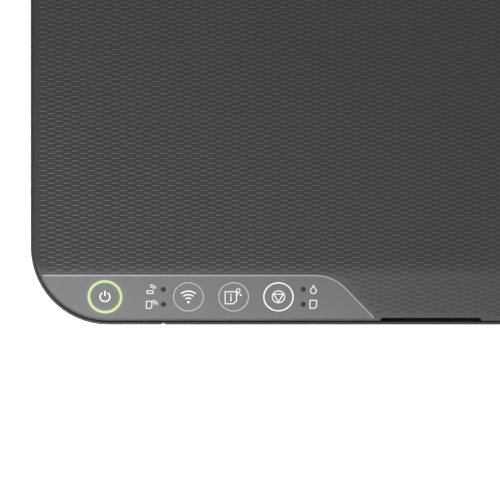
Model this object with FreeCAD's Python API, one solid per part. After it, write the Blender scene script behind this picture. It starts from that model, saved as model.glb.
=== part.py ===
"""Compact ink-tank inkjet printer: a print-only A4 machine with a rear sheet feeder.

+X is the user's right, -Y the front, +Z up; the origin is under the middle of the footprint.
All sizes are in millimetres.
"""

import FreeCAD, Part
import math
import os

V = FreeCAD.Vector
X_AXIS = V(1, 0, 0)
Y_AXIS = V(0, 1, 0)
Z_AXIS = V(0, 0, 1)

# ---------------------------------------------------------------- overall
width = 375.0
depth = 347.0
height = 169.0
half = width / 2
front = -depth / 2
rear = depth / 2

# ---------------------------------------------------------------- clearances
slide_gap = 0.3        # between a sliding piece and its guide
running_gap = 0.05     # radial, between a shaft and its bearing
free_gap = 0.4         # between a moving piece and whatever it only passes
key_gap = 0.15         # round a push button
belt_gap = 0.12        # between the belt and its pulleys

# ---------------------------------------------------------------- casing
wall = 2.4
rim = 1.2              # the wall is thinned to this beside the cover
cover_gap = 0.7
corner = 36.4
rear_corner = 8.0
foot_height = 3.0
foot_radius = 8.0
foot_recess = 0.6
split_z = 60.0         # lower case below, upper housing above
ledge_z = 142.0        # the cover's skirt comes down to here
rim_z = 150.0
top_z = 160.5
deck_z = 130.0         # inner deck under the cover
deck = 2.4
floor_z = foot_height + wall
screw_inset = 7.5      # the casing screws' distance from the side walls' outer faces
screw_column = 4.0
seam_round = 1.3       # rounded edges beside the front fascia
fascia_half = 125.4
fascia_low = 6.0
fascia_seam = 0.1
exit_half = 118.0
exit_low = 7.6
exit_high = 84.0
rear_cover_half = 98.0
rear_cover_high = 140.0

# ---------------------------------------------------------------- cover and control panel
cover_wall = 2.2
skirt = 1.6
cover_inset = rim + cover_gap
hinge_y = rear - 89.5
hinge_radius = 5.0     # the cover's rear edge is rounded about its hinge line
hinge_z = top_z - hinge_radius
hinge_pin_radius = 1.2
hinge_x = 150.0
ear_half = 4.0
cheek = 2.2
tilt = 17.2            # slope of the front band, degrees
flat_end = front + 29.5
crease_y = front + 23.4
notch_half = 23.6
notch_depth = 1.35
notch_round = 1.0
panel_thick = 1.6
panel_inset = cover_inset + 1.0
panel_arc_start = -54.0
panel_arc = 19.3
key_row = front + 13.1
key_radius = 7.25
key_travel = 0.6
power_ring_outer = 8.15
power_ring_inner = 6.9
lamp_radius = 1.25
lamp_rows = (front + 16.6, front + 9.6)
lamp_columns = (-125.2, -59.8)
power_x = -152.5
wireless_x = -113.5
status_x = -92.4
stop_x = -71.4
board_drop = 8.0       # panel board below the panel's face
board_thick = 1.6
switch_height = 3.4
switch_half = 3.0

# ---------------------------------------------------------------- paper path
paper_x = -6.0         # the paper runs on this centre line
paper_half = 108.0
path_z = 66.0
plate_thick = 1.5
left_plate = -120.0
right_plate = 107.5
feed_y = 34.0
feed_radius = 6.0
shaft_radius = 3.0
eject_y = -34.0
eject_radius = 5.0
pinch_radius = 3.0
pinch_pin = 1.2
star_radius = 4.5
star_count = 8
nip_gap = 0.15         # at rest the paired rollers stand this far apart
platen_front = -27.5
platen_rear = 26.5

# ---------------------------------------------------------------- gears, on the left of the paper path
module = 0.8
backlash = 0.14
gear_x = -138.0
gear_face = 4.0
feed_teeth = 36
eject_teeth = 30
idler_teeth = 54
pinion_teeth = 12
pinion_direction = -30.0
bracket_x = -142.0
disc_radius = 13.0
motor_radius = 13.0
motor_length = 30.0
motor_shaft = 1.0

# ---------------------------------------------------------------- carriage
frame_y = 50.0
frame_low = 72.0
frame_high = 126.0
frame_left = -160.0
frame_right_inset = 3.5
rail_z = 98.0
rail_reach = 6.5
carriage_home = 142.0
carriage_half = 33.0
carriage_front = -25.0
carriage_rear = 42.0
carriage_low = 77.0
carriage_high = 118.0
head_half = 22.0
head_front = -12.0
head_rear = 20.0
head_low = path_z + 1.6
station_half = 25.2    # half the width of the service station's well
pulley_radius = 5.0
pulley_left = -150.0
pulley_z = 111.0
belt_front = 43.6
belt_width = 5.0
belt_thick = 1.0
strip_y = 46.0

# ---------------------------------------------------------------- sheet feeder
lean = 20.0
slope_y = rear - 57.5
slope_z = 40.0
cheek_half = 112.0     # inner faces of the feeder's side cheeks, from the paper's centre line
cheek_thick = 2.5
support_half = 95.0
support_thick = 2.4
extension_half = 90.0
extension_thick = 2.0
hopper_half = 104.0
hopper_top = 80.0
guide_rest = 104.0     # inner face of each edge guide at rest, from the centre line
pickup_radius = 16.0
pickup_half = 16.0
slot_half = 115.5
slot_front_gap = 9.9   # from the cover's hinge line to the feed slot
guard_length = 53.0
guard_thick = 2.2
guard_pin = 1.5

# ---------------------------------------------------------------- output tray
tray_half = 112.0
tray_z = 13.0
tray_floor = 2.4
tray_wall = 11.0
tray_length = 148.0
tray_inset = 5.0
under_half = 106.0     # the extension below the tray
under_thick = 2.8
under_length = 140.0
flap_thick = 2.4
flap_low = 9.4
flap_high = 62.0
flap_pin = 1.5
flap_ear = 98.0

# ---------------------------------------------------------------- ink tank
tank_gap = 0.8
tank_left = 128.8
tank_rear = -52.0
tank_low = 12.0
tank_high = 112.0
tank_wall = 1.6
neck_radius = 5.0
neck_bore = 3.2
neck_high = 140.0
cap_radius = 7.0
cap_low = 134.0
cap_high = 143.0
chamber_walls = (tank_left, 146.6, 157.6, 168.6, half - wall - tank_gap)
neck_first = front + 33.5
neck_step = (tank_rear - neck_first - 22.0) / 3
window_half = (4.8, 3.2, 3.2, 3.2)
window_low = 24.0
window_high = 96.0

# ---------------------------------------------------------------- electrics
inlet_x = -153.0
inlet_z = 30.0
inlet_half = 12.5
inlet_tall = 10.0
usb_half = 6.2
usb_z = 44.0
usb_tall = 5.6
board_x = half - 13.0


# ================================================================ shape helpers
def block(xs, ys, zs):
    """A box given by its two limits on each axis."""
    return Part.makeBox(xs[1] - xs[0], ys[1] - ys[0], zs[1] - zs[0], V(xs[0], ys[0], zs[0]))


def span(centre, reach):
    """The pair of limits a distance either side of a centre."""
    return (centre - reach, centre + reach)


def rod_x(radius, xs, y, z):
    return Part.makeCylinder(radius, xs[1] - xs[0], V(xs[0], y, z), X_AXIS)


def rod_y(radius, x, ys, z):
    return Part.makeCylinder(radius, ys[1] - ys[0], V(x, ys[0], z), Y_AXIS)


def rod_z(radius, x, y, zs):
    return Part.makeCylinder(radius, zs[1] - zs[0], V(x, y, zs[0]), Z_AXIS)


def fuse(shapes):
    return shapes[0].multiFuse(shapes[1:]).removeSplitter()


def cut(shape, tools):
    return shape.cut(Part.makeCompound(tools))


def side_profile(points, xs):
    """A polygon of (y, z) points, swept along X."""
    corners = [V(xs[0], y, z) for y, z in points]
    face = Part.Face(Part.makePolygon(corners + corners[:1]))
    return face.extrude(V(xs[1] - xs[0], 0, 0))


def upright(edge):
    """True for a straight edge that runs along Z."""
    if len(edge.Vertexes) != 2:
        return False
    first, last = edge.Vertexes
    return abs(first.X - last.X) < 0.001 and abs(first.Y - last.Y) < 0.001


def round_edges(shape, radius, chosen):
    return shape.makeFillet(radius, [edge for edge in shape.Edges if chosen(edge)])


def footprint(inset, low, high):
    """The machine's outline in plan, moved inwards: wide arcs in front and small ones behind."""
    solid = block(span(0, half - inset), (front + inset, rear - inset), (low, high))
    solid = round_edges(solid, corner - inset, lambda e: upright(e) and e.CenterOfMass.y < 0)
    back_round = max(rear_corner - inset, 0.6)
    return round_edges(solid, back_round, lambda e: upright(e) and e.CenterOfMass.y > rear - inset - 1)


def in_front_of(y, low, high):
    """Everything ahead of a crosswise plane, between two heights."""
    return block(span(0, width), (front - 10, y), (low, high))


def behind(y, low, high):
    return block(span(0, width), (y, rear + 10), (low, high))


def leaning(shape):
    """Places a piece that was drawn upright at the origin onto the feeder's slope."""
    placed = shape.copy()
    placed.rotate(V(0, 0, 0), X_AXIS, -lean)
    placed.translate(V(0, slope_y, slope_z))
    return placed


def slope_point(offset, along):
    """(y, z) of a place on the feeder's slope: offset behind it, and along it."""
    angle = math.radians(lean)
    y = slope_y + offset * math.cos(angle) + along * math.sin(angle)
    return (y, slope_z - offset * math.sin(angle) + along * math.cos(angle))


def mesh_point(first, reach_first, second, reach_second):
    """The lower of the two points that lie at given distances from two axes."""
    gap = math.dist(first, second)
    along = (reach_first ** 2 - reach_second ** 2 + gap ** 2) / (2 * gap)
    aside = math.sqrt(reach_first ** 2 - along ** 2)
    unit = ((second[0] - first[0]) / gap, (second[1] - first[1]) / gap)
    side = (-unit[1], unit[0])
    if side[1] > 0:
        side = (-side[0], -side[1])
    return (first[0] + along * unit[0] + aside * side[0], first[1] + along * unit[1] + aside * side[1])


def direction(start, end):
    """Angle of the line between two (y, z) points, in degrees from +Y towards +Z."""
    return math.degrees(math.atan2(end[1] - start[1], end[0] - start[0]))


def meshed(tooth_angle, teeth, towards, partner_teeth):
    """The angle of a tooth on the partner gear that puts its gap round this gear's tooth."""
    pitch = 360 / teeth
    offset = ((towards - tooth_angle) / pitch) % 1.0
    partner_pitch = 360 / partner_teeth
    return towards + 180 + (offset + 0.5) * partner_pitch


def involute_point(base, roll, start, turn):
    """A point of an involute, mirrored where turn is -1."""
    radius = base * math.sqrt(1 + roll ** 2)
    angle = start + turn * (roll - math.atan(roll))
    return (radius * math.cos(angle), radius * math.sin(angle))


def gear_outline(teeth, tooth_angle):
    """Points of an involute spur gear, one tooth at the given angle."""
    pitch_radius = module * teeth / 2
    base = pitch_radius * math.cos(math.radians(20))
    tip = pitch_radius + module
    root = pitch_radius - 1.2 * module
    roll_pitch = math.tan(math.radians(20))
    involute_pitch = roll_pitch - math.radians(20)
    half_tooth = math.pi / (2 * teeth) - backlash / (2 * pitch_radius)
    half_base = half_tooth + involute_pitch
    roll_tip = math.sqrt((tip / base) ** 2 - 1)
    points = []
    for tooth in range(teeth):
        middle = math.radians(tooth_angle) + 2 * math.pi * tooth / teeth
        points.append((root * math.cos(middle - half_base), root * math.sin(middle - half_base)))
        for step in range(4):
            points.append(involute_point(base, roll_tip * step / 3, middle - half_base, 1))
        for step in range(3, -1, -1):
            points.append(involute_point(base, roll_tip * step / 3, middle + half_base, -1))
        points.append((root * math.cos(middle + half_base), root * math.sin(middle + half_base)))
    return points


def gear(teeth, centre, tooth_angle, bore):
    """A spur gear on an axis along X, with a bore."""
    points = [(centre[0] + y, centre[1] + z) for y, z in gear_outline(teeth, tooth_angle)]
    body = side_profile(points, (gear_x, gear_x + gear_face))
    return body.cut(rod_x(bore, (gear_x - 1, gear_x + gear_face + 1), centre[0], centre[1]))


# ================================================================ places worked out from the values above
cover_rear = hinge_y + hinge_radius
deck_rear = cover_rear + cover_gap     # front face of the wall behind the cover
slot_front = hinge_y + slot_front_gap
guard_y = slot_front + hinge_radius + 0.7
guard_z = top_z - 4.5
feed_axis = (feed_y, path_z - feed_radius)
eject_axis = (eject_y, path_z - eject_radius)
pinch_axis = (feed_y, path_z + pinch_radius + nip_gap)
star_axis = (eject_y, path_z + star_radius + nip_gap)
idler_axis = mesh_point(
    feed_axis, module * (feed_teeth + idler_teeth) / 2, eject_axis, module * (eject_teeth + idler_teeth) / 2
)
pinion_reach = module * (feed_teeth + pinion_teeth) / 2
pinion_axis = (
    feed_axis[0] + pinion_reach * math.cos(math.radians(pinion_direction)),
    feed_axis[1] + pinion_reach * math.sin(math.radians(pinion_direction)),
)
frame_right = half - frame_right_inset
pulley_right = frame_right - 7.0
pickup_axis = slope_point(-31.0, 10.0)
support_top = (height - slope_z) / math.cos(math.radians(lean))
bend_radius = (crease_y - flat_end) / -math.sin(math.radians(tilt))
crease_z = top_z - bend_radius * (1 - math.cos(math.radians(tilt)))


# ================================================================ casing
def front_bay():
    """Space in the front wall that the fascia fills."""
    return block(span(0, fascia_half), (front - 1, front + wall), (fascia_low, top_z + 1))


def seam_edge(edge):
    """An upright outer edge beside the front fascia."""
    at = edge.CenterOfMass
    return upright(edge) and abs(at.y - front) < 0.01 and abs(abs(at.x) - fascia_half) < 0.2


def tank_windows():
    """Slots in the front wall that show the ink level in each chamber."""
    slots = []
    for left, right, reach in zip(chamber_walls, chamber_walls[1:], window_half):
        middle = (left + right) / 2
        slots.append(block(span(middle, reach), (front - 1, front + corner), (window_low, window_high)))
    return slots


def feet_places():
    """Centres of the four feet."""
    return [(side * (half - inset_x), y) for side in (-1, 1)
            for inset_x, y in ((38.0, front + 38.0), (20.0, rear - 20.0))]


def screw_places():
    """Centres of the screws that hold the two halves of the casing together."""
    return [(side * (half - screw_inset), y) for side in (-1, 1) for y in (tank_rear + 8.5, 8.0, rear - 50.0)]


def lower_case():
    """Open tray that carries everything: floor, walls, output tray runners and rear sockets."""
    shell = footprint(0, foot_height, split_z)
    shell = round_edges(shell, 2.0, lambda e: abs(e.CenterOfMass.z - foot_height) < 0.01)
    shell = shell.cut(front_bay())
    shell = round_edges(shell, seam_round, seam_edge)
    shell = shell.cut(footprint(wall, floor_z, split_z + 1))
    parts = [shell]
    runner_top = tray_z + tray_floor + 6
    runner_front = front + tray_inset + 4
    runner_rear = front + tray_inset + tray_length
    for side in (-1, 1):
        guide = sorted((side * (tray_half + slide_gap), side * (tray_half + slide_gap + 2.5)))
        ledge = sorted((side * (under_half + slide_gap), side * (tray_half + slide_gap + 0.1)))
        rib = sorted((side * 60.0, side * 64.0))
        parts.append(block(guide, (runner_front, runner_rear), (foot_height + 1, runner_top)))
        parts.append(block(ledge, (runner_front, runner_rear), (foot_height + 1, tray_z - slide_gap)))
        parts.append(block(rib, (runner_front, runner_rear), (foot_height + 1, under_low() - slide_gap)))
    for x, y in screw_places():
        parts.append(rod_z(screw_column, x, y, (foot_height + 1, split_z)))
    body = fuse(parts)
    cuts = [rod_z(foot_radius, x, y, (foot_height - 1, foot_height + foot_recess)) for x, y in feet_places()]
    cuts += tank_windows()
    cuts += [rod_z(1.6, x, y, (foot_height - 1, split_z + 1)) for x, y in screw_places()]
    cuts += [rod_z(3.2, x, y, (foot_height - 1, foot_height + 8)) for x, y in screw_places()]
    cuts.append(block(span(inlet_x, inlet_half), (rear - wall - 1, rear + 1), span(inlet_z, inlet_tall)))
    cuts.append(block(span(usb_x(), usb_half), (rear - wall - 1, rear + 1), span(usb_z, usb_tall)))
    return cut(body, cuts)


def under_low():
    """Underside of the tray's extension."""
    return tray_z - slide_gap - under_thick


def usb_x():
    return board_x - 0.8 - usb_half


def rubber_feet():
    """Four soft feet set into shallow pockets of the lower case."""
    feet = []
    for x, y in feet_places():
        foot = rod_z(foot_radius, x, y, (0, foot_height + foot_recess))
        feet.append(round_edges(foot, 0.8, lambda e: e.CenterOfMass.z < 0.01))
    return Part.makeCompound(feet)


def case_screws():
    """Six self-tapping screws driven up from below into the upper housing's bosses."""
    screws = []
    for x, y in screw_places():
        head = rod_z(3.0, x, y, (foot_height + 5.5, foot_height + 8))
        shank = rod_z(1.5, x, y, (foot_height + 8, split_z + 8))
        socket = block(span(x, 1.6), span(y, 0.35), (foot_height + 5, foot_height + 6.6))
        crossed = block(span(x, 0.35), span(y, 1.6), (foot_height + 5, foot_height + 6.6))
        screws.append(cut(fuse([head, shank]), [socket, crossed]))
    return Part.makeCompound(screws)


def hinge_ear(side):
    """Upright ear inside the housing that carries one of the cover's hinge pins."""
    xs = span(side * hinge_x, ear_half - slide_gap)
    disc = rod_x(hinge_radius - cover_wall - 0.2, xs, hinge_y, hinge_z)
    stem = block(xs, (hinge_y - 2.6, hinge_y + 0.5), (deck_z + 1, hinge_z))
    bore = rod_x(hinge_pin_radius + running_gap, span(side * hinge_x, ear_half + 1), hinge_y, hinge_z)
    return fuse([disc, stem]).cut(bore)


def guard_cheek(side):
    """Lug under the rear deck with the bore for one of the feeder guard's pins."""
    near = paper_x + side * slot_half
    xs = sorted((near, near + side * 3.5))
    lug = block(xs, span(guard_y, 4.0), (guard_z - 4, top_z - deck + 0.1))
    return lug.cut(rod_x(guard_pin + running_gap, (xs[0] - 1, xs[1] + 1), guard_y, guard_z))


def housing_top_edge(edge):
    """A level outer edge of the rim or of the rear deck."""
    at = edge.CenterOfMass
    level = abs(at.z - rim_z) < 0.01 or abs(at.z - top_z) < 0.01
    outer = abs(at.x) > half - corner or at.y > rear - 1
    return level and outer and abs(at.y - deck_rear) > 0.5


def upper_housing():
    """Main outer shell: side walls with a thin rim, inner deck, and the raised rear deck."""
    shell = footprint(0, split_z, top_z)
    shell = shell.cut(in_front_of(deck_rear, rim_z, top_z + 1))
    shell = shell.cut(front_bay())
    shell = round_edges(shell, seam_round, seam_edge)
    shell = round_edges(shell, 0.5, housing_top_edge)
    hollow = [footprint(wall, split_z - 1, ledge_z)]
    hollow.append(footprint(rim, ledge_z - 0.1, top_z + 1).common(in_front_of(deck_rear, 0, 2 * height)))
    hollow.append(footprint(wall, ledge_z - 0.1, top_z - deck).common(behind(deck_rear + wall, 0, height)))
    shell = cut(shell, hollow)
    deck_plate = footprint(wall - 0.1, deck_z, deck_z + deck)
    deck_plate = deck_plate.common(in_front_of(deck_rear + wall, 0, height))
    cross_wall = block(span(0, half - wall + 0.1), (deck_rear, deck_rear + wall), (deck_z, top_z - 1))
    opening = block((left_plate + 2, right_plate + 14), (front + 95, hinge_y - 6), (deck_z - 1, deck_z + 4))
    opening = round_edges(opening, 6.0, upright)
    parts = [shell, deck_plate.cut(opening), cross_wall, hinge_ear(-1), hinge_ear(1)]
    parts += [guard_cheek(-1), guard_cheek(1)]
    for x, y in screw_places():
        column = rod_z(screw_column, x, y, (split_z, split_z + 14))
        web = block(sorted((x, math.copysign(half - 1, x))), span(y, 1.0), (split_z, split_z + 14))
        parts.append(column)
        parts.append(web)
    body = fuse(parts).cut(front_bay())
    slot = block(span(paper_x, slot_half), (slot_front, rear - wall), (top_z - deck - 1, top_z + 1))
    cuts = [slot] + tank_windows()
    cuts.append(block(span(0, rear_cover_half), (rear - wall - 1, rear + 1), (split_z - 1, rear_cover_high)))
    cuts += [rod_z(1.5, x, y, (split_z - 1, split_z + 8)) for x, y in screw_places()]
    for x, y, _ in neck_places():
        cuts.append(rod_z(neck_radius + 0.6, x, y, (deck_z - 1, deck_z + deck + 1)))
    for index in range(9):
        vent_x = -half + 14 + index * 6
        cuts.append(block(span(vent_x, 1.4), (rear - wall - 1, rear + 1), (split_z + 12, split_z + 44)))
    return cut(body, cuts)


def rear_cover():
    """Plate that closes the back of the paper path and comes off to clear a jam."""
    low = split_z + 0.2
    plate = block(span(0, rear_cover_half - 0.2), (rear - wall, rear), (low, rear_cover_high - 0.2))
    plate = round_edges(plate, 0.6, lambda e: abs(e.CenterOfMass.y - rear) < 0.01)
    grips = [block(span(side * 70, 9), (rear - 1, rear + 1), (108, 118)) for side in (-1, 1)]
    ribs = [block(span(x, 0.8), (rear - wall - 1.6, rear - wall + 0.1), (low + 4, low + 60))
            for x in (-60, -30, 0, 30, 60)]
    return cut(fuse([plate] + ribs), grips)


def front_fascia():
    """Centre of the front: a flat panel with the paper exit in it and the casing's rim along its top."""
    reach = fascia_half - fascia_seam
    plate = block(span(0, reach), (front, front + wall), (fascia_low + 0.1, rim_z))
    plate = round_edges(plate, seam_round, lambda e: upright(e) and abs(e.CenterOfMass.y - front) < 0.01)
    exit_hole = block(span(0, exit_half), (front - 1, front + wall + 1), (exit_low, exit_high))
    plate = plate.cut(exit_hole)
    plate = plate.cut(block(span(0, reach + 1), (front + rim, front + wall + 1), (ledge_z, rim_z + 1)))
    brow = block(span(0, exit_half), (front + wall - 0.1, front + 14), (exit_high, exit_high + 2))
    sides = [block(sorted((side * exit_half, side * (exit_half + 2))),
                   (front + wall - 0.1, front + 14), (tray_z + 12, exit_high + 2)) for side in (-1, 1)]
    return fuse([plate, brow] + sides)


# ================================================================ cover and control panel
def on_band(shape):
    """Places a piece drawn flat, with its face on z = 0, onto the cover's sloping front band."""
    placed = shape.copy()
    placed.rotate(V(0, 0, 0), X_AXIS, tilt)
    placed.translate(V(0, crease_y, crease_z))
    return placed


def band_y(plan_y):
    """Distance down the band, from its upper edge, of a place given in plan."""
    return (plan_y - crease_y) / math.cos(math.radians(tilt))


def band_rod(radius, x, plan_y, zs):
    """A cylinder square to the band."""
    return on_band(rod_z(radius, x, band_y(plan_y), zs))


def cover_profile(drop, rear_end, xs):
    """Side view of the cover's top skin, lowered square to its surface, down to the skirt's height."""
    angle = math.radians(tilt)
    radius = bend_radius - drop
    centre = V(xs[0], flat_end, top_z - bend_radius)
    start = centre + V(0, 0, radius)
    middle = centre + V(0, -radius * math.sin(angle / 2), radius * math.cos(angle / 2))
    bend = centre + V(0, -radius * math.sin(angle), radius * math.cos(angle))
    run = bend.y - (front - 5)
    tip = V(xs[0], front - 5, bend.z - run * math.tan(angle))
    low = skirt_low() if drop == 0 else skirt_low() - 1
    back_radius = hinge_radius - drop
    hinge = V(xs[0], rear_end, hinge_z)
    back_top = hinge + V(0, 0, back_radius)
    back_mid = hinge + V(0, back_radius * math.sin(math.pi / 4), back_radius * math.cos(math.pi / 4))
    back = hinge + V(0, back_radius, 0)
    inner_back = V(xs[0], rear_end, hinge_z)
    foot = V(xs[0], rear_end, low)
    front_foot = V(xs[0], front - 5, low)
    edges = [
        Part.LineSegment(start, back_top).toShape(),
        Part.Arc(back_top, back_mid, back).toShape(),
        Part.LineSegment(back, inner_back).toShape(),
        Part.LineSegment(inner_back, foot).toShape(),
        Part.LineSegment(foot, front_foot).toShape(),
        Part.LineSegment(front_foot, tip).toShape(),
        Part.LineSegment(tip, bend).toShape(),
        Part.Arc(bend, middle, start).toShape(),
    ]
    return Part.Face(Part.Wire(edges)).extrude(V(xs[1] - xs[0], 0, 0))


def skirt_low():
    """Lower edge of the cover's skirt, just above the casing's ledge."""
    return ledge_z + slide_gap


def panel_prism(inset, low, high):
    """The control panel's outline in plan: straight top edge, an arc, then a 45 degree end."""
    turn = math.radians(45.7)
    arc_end = (panel_arc_start + panel_arc * math.sin(turn), crease_y - panel_arc * (1 - math.cos(turn)))
    mid = (panel_arc_start + panel_arc * math.sin(turn / 2),
           crease_y - panel_arc * (1 - math.cos(turn / 2)))
    foot_y = front - 5
    foot_x = arc_end[0] + (arc_end[1] - foot_y) / math.tan(turn)
    left = -half - 5
    points = [V(left, crease_y, low), V(panel_arc_start, crease_y, low)]
    edges = [
        Part.LineSegment(points[0], points[1]).toShape(),
        Part.Arc(points[1], V(mid[0], mid[1], low), V(arc_end[0], arc_end[1], low)).toShape(),
        Part.LineSegment(V(arc_end[0], arc_end[1], low), V(foot_x, foot_y, low)).toShape(),
        Part.LineSegment(V(foot_x, foot_y, low), V(left, foot_y, low)).toShape(),
        Part.LineSegment(V(left, foot_y, low), points[0]).toShape(),
    ]
    prism = Part.Face(Part.Wire(edges)).extrude(V(0, 0, high - low))
    return prism.common(footprint(inset, low, high))


def panel_slab(depth_below):
    """A slab from the band's face down to a depth, wider than the panel."""
    return on_band(block(span(0, half + 10), (-60, 0), (-depth_below, 0)))


def key_places():
    """Name and X of each push button."""
    return (("power", power_x), ("wireless", wireless_x), ("status", status_x), ("stop", stop_x))


def finger_notch():
    """Recess in the cover's front edge, where a fingertip lifts it."""
    notch = block(span(0, notch_half), (front - 1, front + cover_inset + notch_depth), (rim_z - 9, top_z))
    return round_edges(notch, notch_round, lambda e: upright(e) and e.CenterOfMass.y > front)


def printer_cover():
    """The large moulded lid: flat top, sloping front band, skirt all round, ribs and hinge cheeks below."""
    outer = cover_profile(0, hinge_y, span(0, half)).common(footprint(cover_inset, 0, 2 * height))
    rim_edges = [e for e in outer.Edges if not upright(e) and e.CenterOfMass.z > rim_z
                 and (abs(e.CenterOfMass.x) > half - corner or e.CenterOfMass.y < crease_y - 18)
                 and e.CenterOfMass.y < hinge_y - 1]
    outer = outer.makeFillet(0.8, rim_edges)
    hollow = cover_profile(cover_wall, hinge_y, span(0, half))
    hollow = hollow.common(footprint(cover_inset + skirt, 0, 2 * height))
    shell = outer.cut(hollow)
    parts = [shell]
    rib_low = top_z - cover_wall - 6
    for y in (front + 50, front + 110, front + 170):
        parts.append(block((-half + 12, half - 68), span(y, 0.75), (rib_low, top_z - 1)))
    for x in (-120.0, -60.0, 0.0, 60.0, half - 68):
        parts.append(block(span(x, 0.75), (front + 50, hinge_y - 8), (rib_low, top_z - 1)))
    for side in (-1, 1):
        for inner in (-ear_half - cheek, ear_half):
            xs = (side * hinge_x + inner, side * hinge_x + inner + cheek)
            lug = rod_x(hinge_radius - 0.6, xs, hinge_y, hinge_z)
            web = block(xs, (hinge_y - 9, hinge_y), (hinge_z - 2.5, top_z - 1))
            parts.append(fuse([lug, web]))
    for x, y in board_posts():
        parts.append(band_rod(2.6, x, y, (-board_drop, -panel_thick - 0.2)))
    body = fuse(parts)
    cuts = [panel_slab(panel_thick).common(panel_prism(panel_inset, ledge_z, top_z + 1)), finger_notch()]
    for name, x in key_places():
        cuts.append(band_rod(key_radius + 1.4, x, key_row, (-cover_wall - 0.3, 1)))
    for x in lamp_columns:
        for y in lamp_rows:
            cuts.append(band_rod(lamp_radius + 0.3, x, y, (-cover_wall - 0.3, 1)))
    for side in (-1, 1):
        xs = span(side * hinge_x, ear_half + cheek + 1)
        cuts.append(rod_x(hinge_pin_radius, xs, hinge_y, hinge_z))
    return cut(body, cuts)


def hinge_pins():
    """Two steel pins that join the cover's cheeks to the housing's ears."""
    reach = ear_half + cheek
    return Part.makeCompound([rod_x(hinge_pin_radius, span(side * hinge_x, reach), hinge_y, hinge_z)
                              for side in (-1, 1)])


def control_panel():
    """Smooth insert in the left of the cover's front band, with the button and lamp holes."""
    plate = panel_slab(panel_thick).common(panel_prism(panel_inset, ledge_z, top_z + 1))
    cuts = [finger_notch()]
    for name, x in key_places():
        hole = power_ring_outer if name == "power" else key_radius + key_gap
        cuts.append(band_rod(hole, x, key_row, (-panel_thick - 1, 1)))
    for x in lamp_columns:
        for y in lamp_rows:
            cuts.append(band_rod(lamp_radius, x, y, (-panel_thick - 1, 1)))
    return cut(plate, cuts)


def push_button(x, radius):
    """A round key: flush cap, a stem down to its switch."""
    cap = band_rod(radius, x, key_row, (-2.0, 0))
    stem_low = -(board_drop - switch_height - 0.1) + key_travel + 0.3
    stem = band_rod(2.0, x, key_row, (stem_low, -1.9))
    return fuse([cap, stem])


def power_light_ring():
    """Translucent ring round the power button."""
    ring = band_rod(power_ring_outer, power_x, key_row, (-panel_thick, 0))
    return ring.cut(band_rod(power_ring_inner, power_x, key_row, (-panel_thick - 1, 1)))


def indicator_lenses():
    """Four small round lamp windows."""
    return Part.makeCompound([band_rod(lamp_radius, x, y, (-panel_thick, 0))
                              for x in lamp_columns for y in lamp_rows])


def board_posts():
    """Plan places of the posts that hold the panel's circuit board."""
    return [(x, key_row) for x in (-137.0, -103.0, -48.0)]


def panel_board():
    """Circuit board under the panel, with a tact switch under each key and an LED under each lamp."""
    board = on_band(block((-164.0, -42.0), (-19.0, -2.0), (-board_drop - board_thick, -board_drop)))
    parts = [board]
    for name, x in key_places():
        low = -board_drop - 0.1
        base = on_band(block(span(x, switch_half), span(band_y(key_row), switch_half), (low, low + 2.6)))
        parts.append(base)
        parts.append(band_rod(1.6, x, key_row, (low, -board_drop + switch_height - 0.3)))
    for x in lamp_columns:
        for y in lamp_rows:
            at = band_y(y)
            parts.append(on_band(block(span(x, 1.0), span(at, 0.8), (-board_drop - 0.1, -board_drop + 1.2))))
    return fuse(parts)


# ================================================================ steel frame and paper path
def bearing_plate(x, with_front_leg):
    """Upright steel plate at one side of the paper path, with the roller bearings."""
    xs = (x, x + plate_thick)
    points = [
        (eject_y - 12, 40), (frame_y - 4, 40), (frame_y - 4, floor_z), (frame_y + 10, floor_z),
        (frame_y + 10, rail_z + 2), (frame_y, rail_z + 2), (frame_y, path_z + 0.8), (eject_y - 12, path_z + 0.8),
    ]
    plate = side_profile(points, xs)
    if with_front_leg:
        plate = fuse([plate, block(xs, (eject_y - 12, eject_y - 4), (floor_z, 41))])
    bores = [rod_x(shaft_radius + running_gap, (x - 1, x + 3), feed_axis[0], feed_axis[1])]
    bores.append(rod_x(shaft_radius + running_gap, (x - 1, x + 3), eject_axis[0], eject_axis[1]))
    return cut(plate, bores)


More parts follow.
